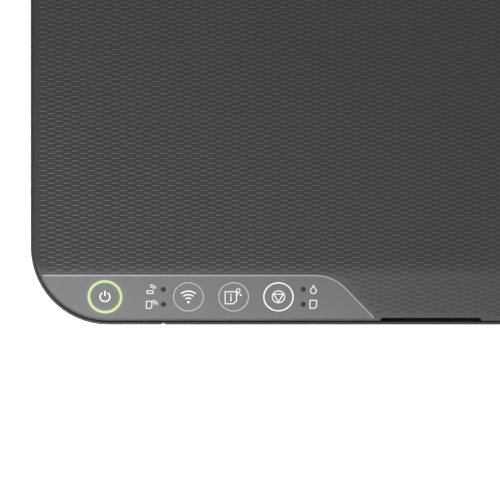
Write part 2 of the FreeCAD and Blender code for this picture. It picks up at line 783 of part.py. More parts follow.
def main_frame():
    """Pressed steel frame: the long plate with the carriage rail, two bearing plates, a gear bracket."""
    long_plate = block((frame_left, frame_right), (frame_y, frame_y + plate_thick), (frame_low, frame_high))
    rail = block((frame_left + 4, frame_right), (frame_y - rail_reach, frame_y + 0.1), (rail_z, rail_z + 1.5))
    top = block((frame_left, frame_right), (frame_y, frame_y + 8), (frame_high - 1.5, frame_high))
    right_leg = block((frame_right - 8, frame_right), (frame_y, frame_y + plate_thick), (floor_z, frame_low + 1))
    bracket_points = [
        (feed_y - 8, floor_z), (frame_y + 16, floor_z), (frame_y + 16, rail_z + 2), (frame_y, rail_z + 2),
        (frame_y, frame_low + 2), (feed_y - 8, frame_low + 2),
    ]
    bracket = side_profile(bracket_points, (bracket_x, bracket_x + plate_thick))
    bracket = bracket.cut(rod_x(motor_shaft + 0.5, (bracket_x - 1, bracket_x + 3), *pinion_axis))
    stud = rod_x(2.0, (gear_x - 0.6, left_plate + 0.1), *idler_axis)
    parts = [long_plate, rail, top, right_leg, bracket, stud]
    parts.append(bearing_plate(left_plate, True))
    parts.append(bearing_plate(right_plate - plate_thick, False))
    parts.append(rod_y(2.0, pulley_right, (belt_front - 0.8, frame_y + 0.1), pulley_z))
    for x in (frame_left + 3, frame_right - 3):
        parts.append(block(span(x, 1.5), (strip_y - 1.2, frame_y + 0.1), (117.8, 119.6)))
        parts.append(block(span(x, 0.8), (strip_y - 1.2, strip_y + 1.2), (119.5, 124.0)))
    body = fuse(parts)
    slots = [rod_y(4.0, pulley_left, (frame_y - 1, frame_y + 3), pulley_z)]
    for x in (-90, -40, 10, 60, 110):
        window = block(span(x, 16), (frame_y - 1, frame_y + 3), (103, 119))
        slots.append(round_edges(window, 3.0, lambda e: abs(e.Length - 4) < 0.01))
    return cut(body, slots)


def platen():
    """Ribbed bed under the print head, which holds the paper at its height."""
    xs = (left_plate + plate_thick, right_plate - plate_thick)
    body = block(xs, (platen_front, platen_rear), (54, path_z - 2))
    grooves = block((paper_x - 104, paper_x + 104), (head_front + 4, head_rear - 4), (path_z - 6, path_z))
    body = body.cut(grooves)
    ribs = []
    for index in range(27):
        x = paper_x - 104 + index * 8
        ribs.append(block(span(x, 0.7), (platen_front + 1, platen_rear - 1), (path_z - 6.5, path_z - 0.2)))
    return fuse([body] + ribs)


def feed_roller():
    """Grit-coated steel roller that drives the paper, journalled in the bearing plates."""
    y, z = feed_axis
    left = gear_x - 1.4
    barrel = rod_x(feed_radius, (paper_x - paper_half, paper_x + paper_half), y, z)
    shaft = rod_x(shaft_radius, (left, right_plate + 2), y, z)
    return fuse([barrel, shaft])


def eject_roller():
    """Rubber-ringed roller that pushes the printed sheet out."""
    y, z = eject_axis
    parts = [rod_x(shaft_radius, (gear_x - 0.6, right_plate + 2), y, z)]
    for index in range(star_count):
        x = star_x(index)
        parts.append(rod_x(eject_radius, span(x, 6.0), y, z))
    return fuse(parts)


def star_x(index):
    """Centre of one star wheel and of the rubber ring under it."""
    return paper_x + (index - (star_count - 1) / 2) * 27.0


def star_wheels():
    """Thin toothed wheels on one wire shaft, which touch wet ink at points only."""
    y, z = star_axis
    parts = [rod_x(1.0, (star_x(0) - 8, star_x(star_count - 1) + 8), y, z)]
    for index in range(star_count):
        points = []
        for step in range(28):
            radius = star_radius if step % 2 == 0 else star_radius - 0.9
            angle = 2 * math.pi * step / 28
            points.append((y + radius * math.cos(angle), z + radius * math.sin(angle)))
        parts.append(side_profile(points, span(star_x(index), 0.4)))
    return fuse(parts)


def star_wheel_bar():
    """Bridge across the paper exit that holds the star wheels down on the eject roller."""
    y, z = star_axis
    bar = block((left_plate, right_plate), (y - 7, y + 7), (z + star_radius + 0.8, z + star_radius + 3.8))
    legs = [block(xs, (y - 7, y + 4), (path_z + 0.8, z + star_radius + 1))
            for xs in ((left_plate, left_plate + 2.5), (right_plate - 2.5, right_plate))]
    hangers = []
    for index in range(star_count + 1):
        x = star_x(index - 0.5) if 0 < index < star_count else star_x(index - 0.5) + (6 if index == 0 else -6)
        hanger = block(span(x, 1.0), span(y, 2.6), (z - 1.8, z + star_radius + 1))
        hangers.append(hanger.cut(rod_x(1.0 + running_gap, span(x, 2), y, z)))
    return fuse([bar] + legs + hangers)


def pinch_places():
    """X of the middle of each pinch roller."""
    return [paper_x + (index - 1.5) * 52.0 for index in range(4)]


def pinch_rollers():
    """Four plastic rollers pressed on the feed roller, each with its own pins."""
    y, z = pinch_axis
    return Part.makeCompound([fuse([rod_x(pinch_radius, span(x, 17), y, z), rod_x(pinch_pin, span(x, 20.5), y, z)])
                              for x in pinch_places()])


def pinch_arms():
    """Four sprung arms under the frame plate that carry the pinch rollers."""
    y, z = pinch_axis
    arms = []
    for x in pinch_places():
        tongue = block(span(x, 21), (y + pinch_radius + free_gap, frame_y + 6), (frame_low - 2, frame_low))
        ears = [block(span(x + side * 19.2, 1.2), (y - 2.4, y + pinch_radius + 1.5), (z - 2.0, frame_low))
                for side in (-1, 1)]
        arm = fuse([tongue] + ears)
        arms.append(arm.cut(rod_x(pinch_pin + running_gap, span(x, 22), y, z)))
    return Part.makeCompound(arms)


def feed_tooth():
    """Angle of the feed gear's reference tooth: on the line to the motor pinion."""
    return pinion_direction


def idler_tooth():
    return meshed(feed_tooth(), feed_teeth, direction(feed_axis, idler_axis), idler_teeth)


def feed_gear():
    """Gear on the feed roller's left end, driven by the motor."""
    return gear(feed_teeth, feed_axis, feed_tooth(), shaft_radius)


def idler_gear():
    """Free gear on a stud, which turns the eject roller the same way as the feed roller."""
    return gear(idler_teeth, idler_axis, idler_tooth(), 2.0 + running_gap)


def eject_gear():
    towards = direction(idler_axis, eject_axis)
    return gear(eject_teeth, eject_axis, meshed(idler_tooth(), idler_teeth, towards, eject_teeth), shaft_radius)


def motor_pinion():
    """Small brass gear on the feed motor's shaft."""
    tooth = meshed(feed_tooth(), feed_teeth, pinion_direction, pinion_teeth)
    body = gear(pinion_teeth, pinion_axis, tooth, motor_shaft)
    shaft = rod_x(motor_shaft, (bracket_x - 5, gear_x + gear_face), *pinion_axis)
    return fuse([body, shaft])


def encoder_disc():
    """Thin clear disc on the feed roller's end, read by the frame's sensor."""
    disc = rod_x(disc_radius, (gear_x - 1.0, gear_x - 0.6), *feed_axis)
    return disc.cut(rod_x(shaft_radius, (gear_x - 2, gear_x), *feed_axis))


def feed_motor():
    """Direct-current motor on the outside of the gear bracket."""
    y, z = pinion_axis
    can = rod_x(motor_radius, (bracket_x - motor_length, bracket_x), y, z)
    can = round_edges(can, 1.5, lambda e: e.CenterOfMass.x < bracket_x - 1)
    boss = rod_x(4.0, (bracket_x - motor_length - 3, bracket_x - motor_length + 1), y, z)
    return fuse([can, boss]).cut(rod_x(motor_shaft + running_gap, (bracket_x - 6, bracket_x + 1), y, z))


# ================================================================ carriage drive
def belt_loop(inner):
    """Outline of a belt path round both pulleys, as a solid of the belt's width."""
    reach = pulley_radius + inner
    ys = (belt_front, belt_front + belt_width)
    run = block((pulley_left, pulley_right), ys, span(pulley_z, reach))
    ends = [rod_y(reach, x, ys, pulley_z) for x in (pulley_left, pulley_right)]
    return fuse([run] + ends)


def drive_belt():
    """Toothed belt that draws the carriage, round both pulleys."""
    return belt_loop(belt_gap + belt_thick).cut(belt_loop(belt_gap))


def pulley(x):
    """Flanged pulley, clear of the belt on both sides."""
    ys = (belt_front - 0.3, belt_front + belt_width + 0.3)
    body = rod_y(pulley_radius, x, ys, pulley_z)
    teeth = [rod_y(0.45, x + pulley_radius * math.cos(math.radians(20 * step)), (ys[0] - 1, ys[1] + 1),
                   pulley_z + pulley_radius * math.sin(math.radians(20 * step))) for step in range(18)]
    return cut(body, teeth)


def drive_pulley():
    """Pulley on the carriage motor's shaft."""
    return fuse([pulley(pulley_left), rod_y(1.2, pulley_left, (belt_front - 0.8, frame_y + 7), pulley_z)])


def idler_pulley():
    return pulley(pulley_right).cut(rod_y(2.0 + running_gap, pulley_right, (belt_front - 2, frame_y), pulley_z))


def carriage_motor():
    """Motor behind the frame plate, which turns the drive pulley."""
    ys = (frame_y + plate_thick, frame_y + plate_thick + 27)
    can = round_edges(rod_y(12.0, pulley_left, ys, pulley_z), 1.5, lambda e: e.CenterOfMass.y > frame_y + 10)
    return can.cut(rod_y(1.2 + running_gap, pulley_left, (frame_y, frame_y + 8), pulley_z))


def encoder_strip():
    """Thin clear strip along the frame that tells the carriage where it is."""
    xs = (frame_left + 3.8, frame_right - 3.8)
    return block(xs, span(strip_y, 0.2), (119.8, 124.0))


def carriage_body():
    """Moulded carriage: an open box for the head, a shoe on the rail, a belt clamp and a sensor fork."""
    x = carriage_home
    ys = (carriage_front, carriage_rear)
    body = block(span(x, carriage_half), ys, (carriage_low, carriage_high))
    body = round_edges(body, 3.0, lambda e: upright(e) and e.CenterOfMass.y < 0)
    pocket = block(span(x, carriage_half - 2.5), (ys[0] + 2.5, ys[1] - 12), (carriage_low + 12, carriage_high + 1))
    body = body.cut(pocket)
    shoe = block(span(x, 24), (ys[1] - 0.1, frame_y - free_gap), (rail_z - 4, rail_z + 4.5))
    groove = block(span(x, 30), (frame_y - rail_reach - free_gap, frame_y), (rail_z - 0.1, rail_z + 1.6))
    clamp = block(span(x, 8), (ys[1] - 0.1, frame_y - 1), (rail_z + 4, rail_z + 10.4))
    low_run = pulley_z - pulley_radius
    channel = block(span(x, 12), (belt_front - 0.2, frame_y), (low_run - 1.4, low_run + 0.2))
    fork = block(span(x, 6), (ys[1] - 4, strip_y + 1.9), (carriage_high - 0.1, 123.0))
    slit = block(span(x, 8), span(strip_y, 0.7), (carriage_high + 0.9, 125.0))
    back_lid = block(span(x, 6), (ys[1] - 4, strip_y + 1.9), (carriage_high - 0.6, carriage_high + 0.1))
    solid = fuse([body, shoe, clamp, fork, back_lid])
    solid = cut(solid, [groove, channel, slit])
    window = block(span(x, head_half), (head_front, head_rear), (carriage_low - 1, carriage_low + 13))
    return solid.cut(window)


def print_head():
    """Print head that hangs through the carriage floor, nozzle face down."""
    x = carriage_home
    core = block(span(x, head_half), (head_front, head_rear), (head_low, carriage_low + 26))
    core = round_edges(core, 1.5, lambda e: upright(e))
    flange = block(span(x, head_half + 5), (head_front - 5, head_rear + 5), (carriage_low + 12, carriage_low + 15))
    ports = [rod_z(2.0, x + (index - 1.5) * 9, 4, (carriage_low + 25.9, carriage_low + 30)) for index in range(4)]
    return fuse([core, flange] + ports)


# ================================================================ service station
def capping_base():
    """Moulded base of the service station at the carriage's home end."""
    xs = (tray_half + 3.2, half - screw_inset - screw_column - 1)
    body = block(xs, (-24, 34), (floor_z, 56))
    hollow = block(span(carriage_home, station_half), (-18, 26), (floor_z + 12, 57))
    return body.cut(hollow)


def cap_holder():
    """Sprung cap that seals the nozzles when the carriage is home, with the wiper beside it."""
    x = carriage_home
    slab = block(span(x, station_half - free_gap), (-18 + free_gap, 26 - free_gap), (50, 61))
    guide = block(span(x, 12), (-8, 16), (floor_z + 16, 50.1))
    lip = block(span(x, 19), (head_front + 3, head_rear - 3), (60.9, head_low - 0.3))
    lip = lip.cut(block(span(x, 17), (head_front + 5, head_rear - 5), (62, head_low + 1)))
    return fuse([slab, guide, lip])


def suction_pump():
    """Peristaltic pump that draws ink through the cap, behind the service station."""
    drum = rod_y(14.0, carriage_home, (34, 48), 36)
    return fuse([drum, block(span(carriage_home, 16), (34, 40), (floor_z, 30))])


# ================================================================ sheet feeder
def feed_frame():
    """Moulded feeder body: side cheeks, sloping back plate, channels for the paper support, lower guide."""
    top_y, top_cheek = slope_point(4.0, 112.0)
    points = [
        (frame_y + 14, floor_z), (slope_y + 20, floor_z), (top_y + 6, 100), (top_y + 6, top_cheek - 2),
        (slope_point(-34, 96)[0], top_cheek - 2), (frame_y + 14, 84),
    ]
    parts = []
    for side in (-1, 1):
        near = paper_x + side * cheek_half
        parts.append(side_profile(points, sorted((near, near + side * cheek_thick))))
    inner = span(paper_x, cheek_half + 0.1)
    parts.append(leaning(block(inner, (-6, -4), (-4, 116))))
    guide = [
        (feed_y + 13, 62), (pickup_axis[0] - 6, pickup_axis[1] - pickup_radius - 2),
        (slope_y - 2, 37), (slope_y - 2, 33), (pickup_axis[0] - 6, pickup_axis[1] - pickup_radius - 6),
        (feed_y + 13, 56),
    ]
    parts.append(side_profile(guide, (inner[0], right_plate - plate_thick)))
    for side in (-1, 1):
        rail = sorted((side * (support_half + slide_gap), side * (support_half + 4)))
        lip = sorted((side * (extension_half - 6), side * (support_half + 4)))
        parts.append(leaning(block([paper_x + x for x in rail], (-4.1, 3.2), (6, 116))))
        parts.append(leaning(block([paper_x + x for x in lip], (1.7, 3.2), (6, 116))))
    tie = block(inner, (frame_y + 14, frame_y + 20), (70, 84))
    parts.append(tie)
    body = fuse(parts)
    cheeks = (paper_x - cheek_half - cheek_thick - 1, paper_x + cheek_half + cheek_thick + 1)
    bores = [rod_x(shaft_radius + running_gap, cheeks, *pickup_axis)]
    bores.append(rod_x(2.0 + running_gap, cheeks, *slope_point(hopper_offset(), hopper_top)))
    lower = leaning(block(span(paper_x, hopper_half + 2), (-9, -3), (-6, 20)))
    return cut(body, bores + [lower, separation_pad()])


def hopper_offset():
    """Where the hopper plate's middle lies in front of the slope."""
    return -13.2


def hopper_plate():
    """Plate that presses the stack of paper against the pickup roller, hung from its top edge."""
    middle = hopper_offset()
    plate = block(span(paper_x, hopper_half), (middle - 0.8, middle + 0.8), (3, hopper_top))
    notch = block(span(paper_x, 14), (middle - 2, middle + 2), (40, 66))
    plate = plate.cut(notch)
    barrel = rod_x(2.0, span(paper_x, cheek_half + cheek_thick), middle, hopper_top)
    ribs = [block(span(paper_x + x, 1), (middle + 0.7, middle + 2.6), (10, hopper_top - 4)) for x in (-80, -45, 45, 80)]
    return leaning(fuse([plate, barrel] + ribs))


def pickup_roller():
    """Rubber-tyred roller on a long shaft, which draws one sheet at a time."""
    y, z = pickup_axis
    shaft = rod_x(shaft_radius, span(paper_x, cheek_half + cheek_thick + 1), y, z)
    tyre = rod_x(pickup_radius, span(paper_x, pickup_half), y, z)
    flat = block(span(paper_x, pickup_half + 1), (y - pickup_radius - 1, y - pickup_radius + 4), span(z, 20))
    groove = [rod_x(pickup_radius + 1, span(paper_x + x, 0.5), y, z).cut(rod_x(pickup_radius - 0.8,
              span(paper_x + x, 1), y, z)) for x in (-8, 0, 8)]
    return fuse([cut(tyre, [flat] + groove), shaft])


def separation_pad():
    """Cork-faced pad under the pickup roller, which holds the second sheet back."""
    y, z = pickup_axis
    return block(span(paper_x, 14), span(y + 4, 6), (z - pickup_radius - 3.9, z - pickup_radius - 0.6))


def edge_guide(side):
    """Upright fence beside the paper, with a foot that runs along the feeder's back plate."""
    face = paper_x + side * guide_rest
    fence_xs = sorted((face, face + side * 2.0))
    foot_xs = sorted((face + side * 2.0, face - side * 46))
    middle = hopper_offset()
    upper = block(fence_xs, (middle - 17, -6 - slide_gap), (hopper_top + 4, 110))
    lower = block(fence_xs, (middle - 17, middle - 3.0), (50, hopper_top + 4.1))
    low = 97 if side < 0 else 88
    foot = block(foot_xs, (-8.2, -6 - slide_gap), (low, low + 7))
    grip = block(sorted((face + side * 2, face + side * 6)), (middle - 17, middle - 9), (98, 110))
    return leaning(fuse([upper, lower, foot, grip]))


def paper_support():
    """Plate that draws up out of the rear of the machine to hold the stack of paper."""
    plate = block(span(paper_x, support_half), (-3.7, -3.7 + support_thick), (14, support_top))
    grip = block(span(paper_x, support_half), (-10, -3.6), (support_top - 7, support_top + 6))
    finger = block(span(paper_x, 22), (-12, -6.5), (support_top - 8, support_top + 8))
    placed = leaning(fuse([plate, grip.cut(finger)]))
    return placed.cut(block(span(0, width), (0, rear + 50), (height, height + 40)))


def support_extension():
    """Second stage of the paper support, behind the first."""
    ys = (-3.7 + support_thick + free_gap, -3.7 + support_thick + free_gap + extension_thick)
    plate = block(span(paper_x, extension_half), ys, (18, support_top - 4))
    grip = block(span(paper_x, 40), (ys[0], ys[1] + 2.4), (support_top - 8, support_top - 1))
    windows = [block(span(paper_x + x, 16), (ys[0] - 1, ys[1] + 1), (60, 100)) for x in (-60, -20, 20, 60)]
    return leaning(cut(fuse([plate, grip]), windows))


def feeder_guard():
    """Flap over the feed slot, hinged along its front edge, which keeps things out of the feeder."""
    ys = (guard_y - 2.5, guard_y - 2.5 + guard_length)
    reach = slot_half - free_gap
    plate = block(span(paper_x, reach), ys, (top_z - guard_thick, top_z))
    plate = round_edges(plate, 1.2, lambda e: upright(e) and e.CenterOfMass.y > guard_y + 5)
    parts = [plate]
    for side in (-1, 1):
        edge = paper_x + side * reach
        lug_xs = sorted((edge, edge - side * 3.0))
        pin_xs = sorted((edge - side * 1.0, edge + side * 3.0))
        parts.append(block(lug_xs, span(guard_y, 2.2), (guard_z - 2.2, top_z - 1)))
        parts.append(rod_x(guard_pin, pin_xs, guard_y, guard_z))
    return fuse(parts)


# ================================================================ output tray
def output_tray():
    """Tray that slides out of the front to catch the printed sheets."""
    ys = (front + tray_inset, front + tray_inset + tray_length)
    floor = block(span(0, tray_half), ys, (tray_z, tray_z + tray_floor))
    sides = [block(sorted((side * tray_half, side * (tray_half - 2))), ys, (tray_z, tray_z + tray_wall))
             for side in (-1, 1)]
    ribs = [block(span(x, 1.5), (ys[0] + 4, ys[1] - 4), (tray_z + tray_floor - 0.1, tray_z + tray_floor + 1))
            for x in (-84, -56, -28, 0, 28, 56, 84)]
    body = fuse([floor] + sides + ribs)
    scoop = Part.makeCylinder(24, 10, V(0, ys[0], tray_z - 2), Z_AXIS)
    return body.cut(scoop)


def flap_axis():
    """(y, z) of the line on which the front flap folds down."""
    return (front + flap_thick + 0.8, under_low() + under_thick / 2)


def tray_extension():
    """Second stage of the output tray, under the first, with ears for the flap."""
    y, z = flap_axis()
    ys = (y + 2.4, y + 2.4 + under_length)
    plate = block(span(0, under_half), ys, (under_low(), under_low() + under_thick))
    parts = [plate]
    for side in (-1, 1):
        ear = fuse([rod_x(2.2, span(side * flap_ear, 2.0), y, z),
                    block(span(side * flap_ear, 2.0), (y, y + 3), (under_low(), under_low() + under_thick))])
        parts.append(ear)
    body = fuse(parts)
    bores = [rod_x(flap_pin - 0.5 + running_gap, span(side * flap_ear, 3), y, z) for side in (-1, 1)]
    return cut(body, bores)


def paper_stopper():
    """Front flap: it closes the paper exit, and folds forward to stop the sheets."""
    y, z = flap_axis()
    reach = exit_half - 0.8
    plate = block(span(0, reach), (front, front + flap_thick), (flap_low, flap_high))
    plate = round_edges(plate, 1.0, lambda e: abs(e.CenterOfMass.y - front) < 0.01)
    notches = []
    hinges = []
    for side in (-1, 1):
        middle = side * flap_ear
        notches.append(block(span(middle, 2.4), (front - 1, front + 4), (flap_low - 1, z + 3.2)))
        for inner in (-5.4, 2.4):
            knuckle_xs = (middle + inner, middle + inner + 3.0)
            hinges.append(rod_x(1.6, knuckle_xs, y, z))
            hinges.append(block(knuckle_xs, (front + 1, y), span(z, 1.4)))
        hinges.append(rod_x(flap_pin - 0.5, span(middle, 5.0), y, z))
    body = cut(plate, notches)
    stiffener = block(span(0, reach - 14), (front + flap_thick - 0.1, front + flap_thick + 1.2), (40, 41.5))
    return fuse([body, stiffener] + hinges)


# ================================================================ ink tank
def neck_places():
    """X, Y and colour of each filler neck: staggered so that the caps clear each other."""
    names = ("black", "cyan", "magenta", "yellow")
    places = []
    for index, (left, right) in enumerate(zip(chamber_walls, chamber_walls[1:])):
        places.append(((left + right) / 2, neck_first + index * neck_step, names[index]))
    return places


def ink_tank():
    """Clear four-chamber tank that follows the casing's front corner, with a filler neck on each chamber."""
    inset = wall + tank_gap
    bounds = block((tank_left, half), (front, tank_rear), (tank_low, tank_high))
    parts = [footprint(inset, tank_low, tank_high).common(bounds)]
    cavities = []
    for left, right in zip(chamber_walls, chamber_walls[1:]):
        space = block((left + tank_wall / 2, right - tank_wall / 2), (front, tank_rear - tank_wall),
                      (tank_low + tank_wall, tank_high - tank_wall))
        cavities.append(footprint(inset + tank_wall, 0, height).common(space))
    for x, y, _ in neck_places():
        parts.append(rod_z(neck_radius, x, y, (tank_high - 0.1, neck_high)))
        cavities.append(rod_z(neck_bore, x, y, (tank_high - 3, neck_high + 1)))
    parts.append(block((tank_left + 4, half - 30), (front + 70, tank_rear - 10), (floor_z, tank_low + 0.1)))
    return cut(fuse(parts), cavities)


def tank_cap(x, y):
    """Soft cap over a filler neck."""
    body = rod_z(cap_radius, x, y, (cap_low, cap_high))
    body = round_edges(body, 0.8, lambda e: e.CenterOfMass.z > cap_high - 0.1)
    tab = block(span(x, 2.5), (y - cap_radius - 3.0, y - cap_radius + 1), (cap_high - 3, cap_high - 1))
    bore = rod_z(neck_radius + 0.1, x, y, (cap_low - 1, neck_high + 0.3))
    return fuse([body, tab]).cut(bore)


# ================================================================ electrics
def ac_inlet():
    """Two-pin mains inlet in the back wall: a socket shroud with its two pins."""
    ys = (rear - 20, rear)
    body = block(span(inlet_x, inlet_half), ys, span(inlet_z, inlet_tall))
    flange = block(span(inlet_x, inlet_half + 2), (rear - wall - 2, rear - wall), span(inlet_z, inlet_tall + 2))
    lobes = [rod_y(4.4, inlet_x + side * 4.0, (rear - 14, rear + 1), inlet_z) for side in (-1, 1)]
    bridge = block(span(inlet_x, 4.0), (rear - 14, rear + 1), span(inlet_z, 3.4))
    pins = [rod_y(1.2, inlet_x + side * 4.3, (rear - 15, rear - 4), inlet_z) for side in (-1, 1)]
    return fuse([cut(fuse([body, flange]), lobes + [bridge])] + pins)


def usb_port():
    """Square USB socket on the main board's rear edge, with its contact tongue."""
    x = usb_x()
    body = block(span(x, usb_half), (rear - 16.5, rear), span(usb_z, usb_tall))
    cavity = block(span(x, 4.2), (rear - 9, rear + 1), span(usb_z, 3.9))
    tongue = block(span(x, 2.8), (rear - 10, rear - 1.5), span(usb_z, 1.6))
    return fuse([body.cut(cavity), tongue])


def main_board():
    """Control board on edge beside the right wall."""
    xs = (board_x - 0.8, board_x + 0.8)
    board = block(xs, (frame_y + 14, rear - 4), (30, 118))
    chips = [block((xs[0] - 1.4, xs[0] + 0.1), span(y, 9), span(z, 9)) for y, z in ((110, 92), (84, 60))]
    chips.append(block((xs[0] - 8, xs[0] + 0.1), (74, 100), (106, 112)))
    chips.append(block((xs[0] - 8, xs[0] + 0.1), (104, 130), (106, 112)))
    chips += [Part.makeCylinder(3.5, 9, V(xs[0] - 8.9, y, 76), X_AXIS) for y in (124, 134)]
    stand = block((xs[1] - 0.1, half - wall), span(rear - 70, 3), (split_z + 4, split_z + 10))
    lower = block((xs[1] - 0.1, half - wall), span(frame_y + 30, 3), (split_z + 4, split_z + 10))
    return fuse([board, stand, lower] + chips)


def power_supply():
    """Switched supply in the left rear corner, in its own moulded box."""
    ys = (frame_y + 22, rear - 22)
    box = block((-half + 14, paper_x - cheek_half - cheek_thick - 4), ys, (floor_z, 48))
    box = round_edges(box, 2.0, upright)
    slots = [block((-half + 20, -half + 44), span(ys[0] + 14 + index * 7, 1.5), (46, 49)) for index in range(8)]
    return cut(box, slots)


# ================================================================ write the files
def nodes():
    """Every sub-part by name."""
    made = {
        "lower_case": lower_case(),
        "rubber_feet": rubber_feet(),
        "case_screws": case_screws(),
        "upper_housing": upper_housing(),
        "rear_cover": rear_cover(),
        "front_fascia": front_fascia(),
        "printer_cover": printer_cover(),
        "hinge_pins": hinge_pins(),
        "control_panel": control_panel(),
        "power_light_ring": power_light_ring(),
        "indicator_lenses": indicator_lenses(),
        "panel_board": panel_board(),
        "main_frame": main_frame(),
        "platen": platen(),
        "feed_roller": feed_roller(),
        "feed_gear": feed_gear(),
        "encoder_disc": encoder_disc(),
        "idler_gear": idler_gear(),
        "eject_roller": Part.makeCompound([eject_roller(), eject_gear()]),
        "motor_pinion": motor_pinion(),
        "feed_motor": feed_motor(),
        "pinch_rollers": pinch_rollers(),
        "pinch_arms": pinch_arms(),
        "star_wheels": star_wheels(),
        "star_wheel_bar": star_wheel_bar(),
        "drive_belt": drive_belt(),
        "drive_pulley": drive_pulley(),
        "idler_pulley": idler_pulley(),
        "carriage_motor": carriage_motor(),
        "encoder_strip": encoder_strip(),
        "carriage_body": carriage_body(),
        "print_head": print_head(),
        "capping_base": capping_base(),
        "cap_holder": cap_holder(),
        "suction_pump": suction_pump(),
        "feed_frame": feed_frame(),
        "hopper_plate": hopper_plate(),
        "pickup_roller": pickup_roller(),
        "separation_pad": separation_pad(),
        "left_edge_guide": edge_guide(-1),
        "right_edge_guide": edge_guide(1),
        "paper_support": paper_support(),
        "support_extension": support_extension(),
        "feeder_guard": feeder_guard(),
        "output_tray": output_tray(),
        "tray_extension": tray_extension(),
        "paper_stopper": paper_stopper(),
        "ink_tank": ink_tank(),
        "ac_inlet": ac_inlet(),
        "usb_port": usb_port(),
        "main_board": main_board(),
        "power_supply": power_supply(),
    }
    for name, x in key_places():
        radius = power_ring_inner - key_gap if name == "power" else key_radius
        made[name + "_button"] = push_button(x, radius)
    return made


def main():
    os.makedirs("parts", exist_ok=True)
    made = nodes()
    for x, y, colour in neck_places():
        made["tank_cap_" + colour] = tank_cap(x, y)
    for name, shape in made.items():
        shape.exportStep("parts/" + name + ".step")
    print(len(made), "nodes written")


main()
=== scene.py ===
import bmesh
import bpy
import math
from mathutils import Matrix, Vector
from mathutils.bvhtree import BVHTree


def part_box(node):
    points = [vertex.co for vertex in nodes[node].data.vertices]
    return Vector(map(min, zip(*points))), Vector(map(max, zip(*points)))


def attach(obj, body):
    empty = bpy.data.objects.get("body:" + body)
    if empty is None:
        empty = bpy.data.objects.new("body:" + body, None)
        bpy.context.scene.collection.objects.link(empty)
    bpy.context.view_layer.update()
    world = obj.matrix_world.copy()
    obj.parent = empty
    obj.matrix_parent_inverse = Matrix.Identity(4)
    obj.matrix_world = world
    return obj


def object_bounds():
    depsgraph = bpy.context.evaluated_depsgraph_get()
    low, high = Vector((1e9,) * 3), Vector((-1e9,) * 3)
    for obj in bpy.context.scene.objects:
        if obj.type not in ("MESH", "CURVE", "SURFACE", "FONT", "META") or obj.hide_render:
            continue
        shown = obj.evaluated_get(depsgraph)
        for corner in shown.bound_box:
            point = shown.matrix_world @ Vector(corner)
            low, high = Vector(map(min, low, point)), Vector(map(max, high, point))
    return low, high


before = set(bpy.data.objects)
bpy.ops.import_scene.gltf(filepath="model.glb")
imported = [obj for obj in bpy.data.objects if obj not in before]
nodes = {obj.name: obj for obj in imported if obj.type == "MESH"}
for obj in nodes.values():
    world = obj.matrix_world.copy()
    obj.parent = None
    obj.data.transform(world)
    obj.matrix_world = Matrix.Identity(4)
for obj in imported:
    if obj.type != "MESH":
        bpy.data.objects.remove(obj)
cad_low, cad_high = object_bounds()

MM = 0.001

# ---------------------------------------------------------------- camera
# A long lens far above the front left corner of the lid, looking straight down, so that the
# upright walls all but vanish and the lid reads as a flat plan.
LID_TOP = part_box("printer_cover")[1][2]
CAMERA_HEIGHT = 2.5
VIEW_WIDTH = 233.35 * MM
AIM_FROM_LEFT = 102.8 * MM
AIM_FROM_FRONT = 35.0 * MM
camera_data = bpy.data.cameras.new("camera")
camera_data.sensor_width = 36.0
camera_data.lens = camera_data.sensor_width * CAMERA_HEIGHT / VIEW_WIDTH
camera = bpy.data.objects.new("camera", camera_data)
camera.location = (cad_low[0] + AIM_FROM_LEFT, cad_low[1] + AIM_FROM_FRONT, LID_TOP + CAMERA_HEIGHT)
bpy.context.scene.collection.objects.link(camera)
bpy.context.scene.camera = camera


# ---------------------------------------------------------------- floor, background and lamps
# A pale table top that runs out of sight, under a plain white sky. Both are white where the eye or
# a reflection meets them, and the floor still takes the printer's soft shadow.
class Value:
    """A number that a shader socket gives: arithmetic on it adds Math nodes."""

    def __init__(self, finish, socket):
        self.finish = finish
        self.socket = socket

    def math(self, operation, first, second=0.0):
        return self.finish.node("ShaderNodeMath", {"operation": operation}, {0: first, 1: second})

    def __add__(self, other):
        return self.math("ADD", self, other)

    __radd__ = __add__

    def __sub__(self, other):
        return self.math("SUBTRACT", self, other)

    def __mul__(self, other):
        return self.math("MULTIPLY", self, other)

    __rmul__ = __mul__

    def __truediv__(self, other):
        return self.math("DIVIDE", self, other)

    def __pow__(self, other):
        return self.math("POWER", self, other)

    def __neg__(self):
        return self.math("MULTIPLY", self, -1.0)

    def __abs__(self):
        return self.math("ABSOLUTE", self)


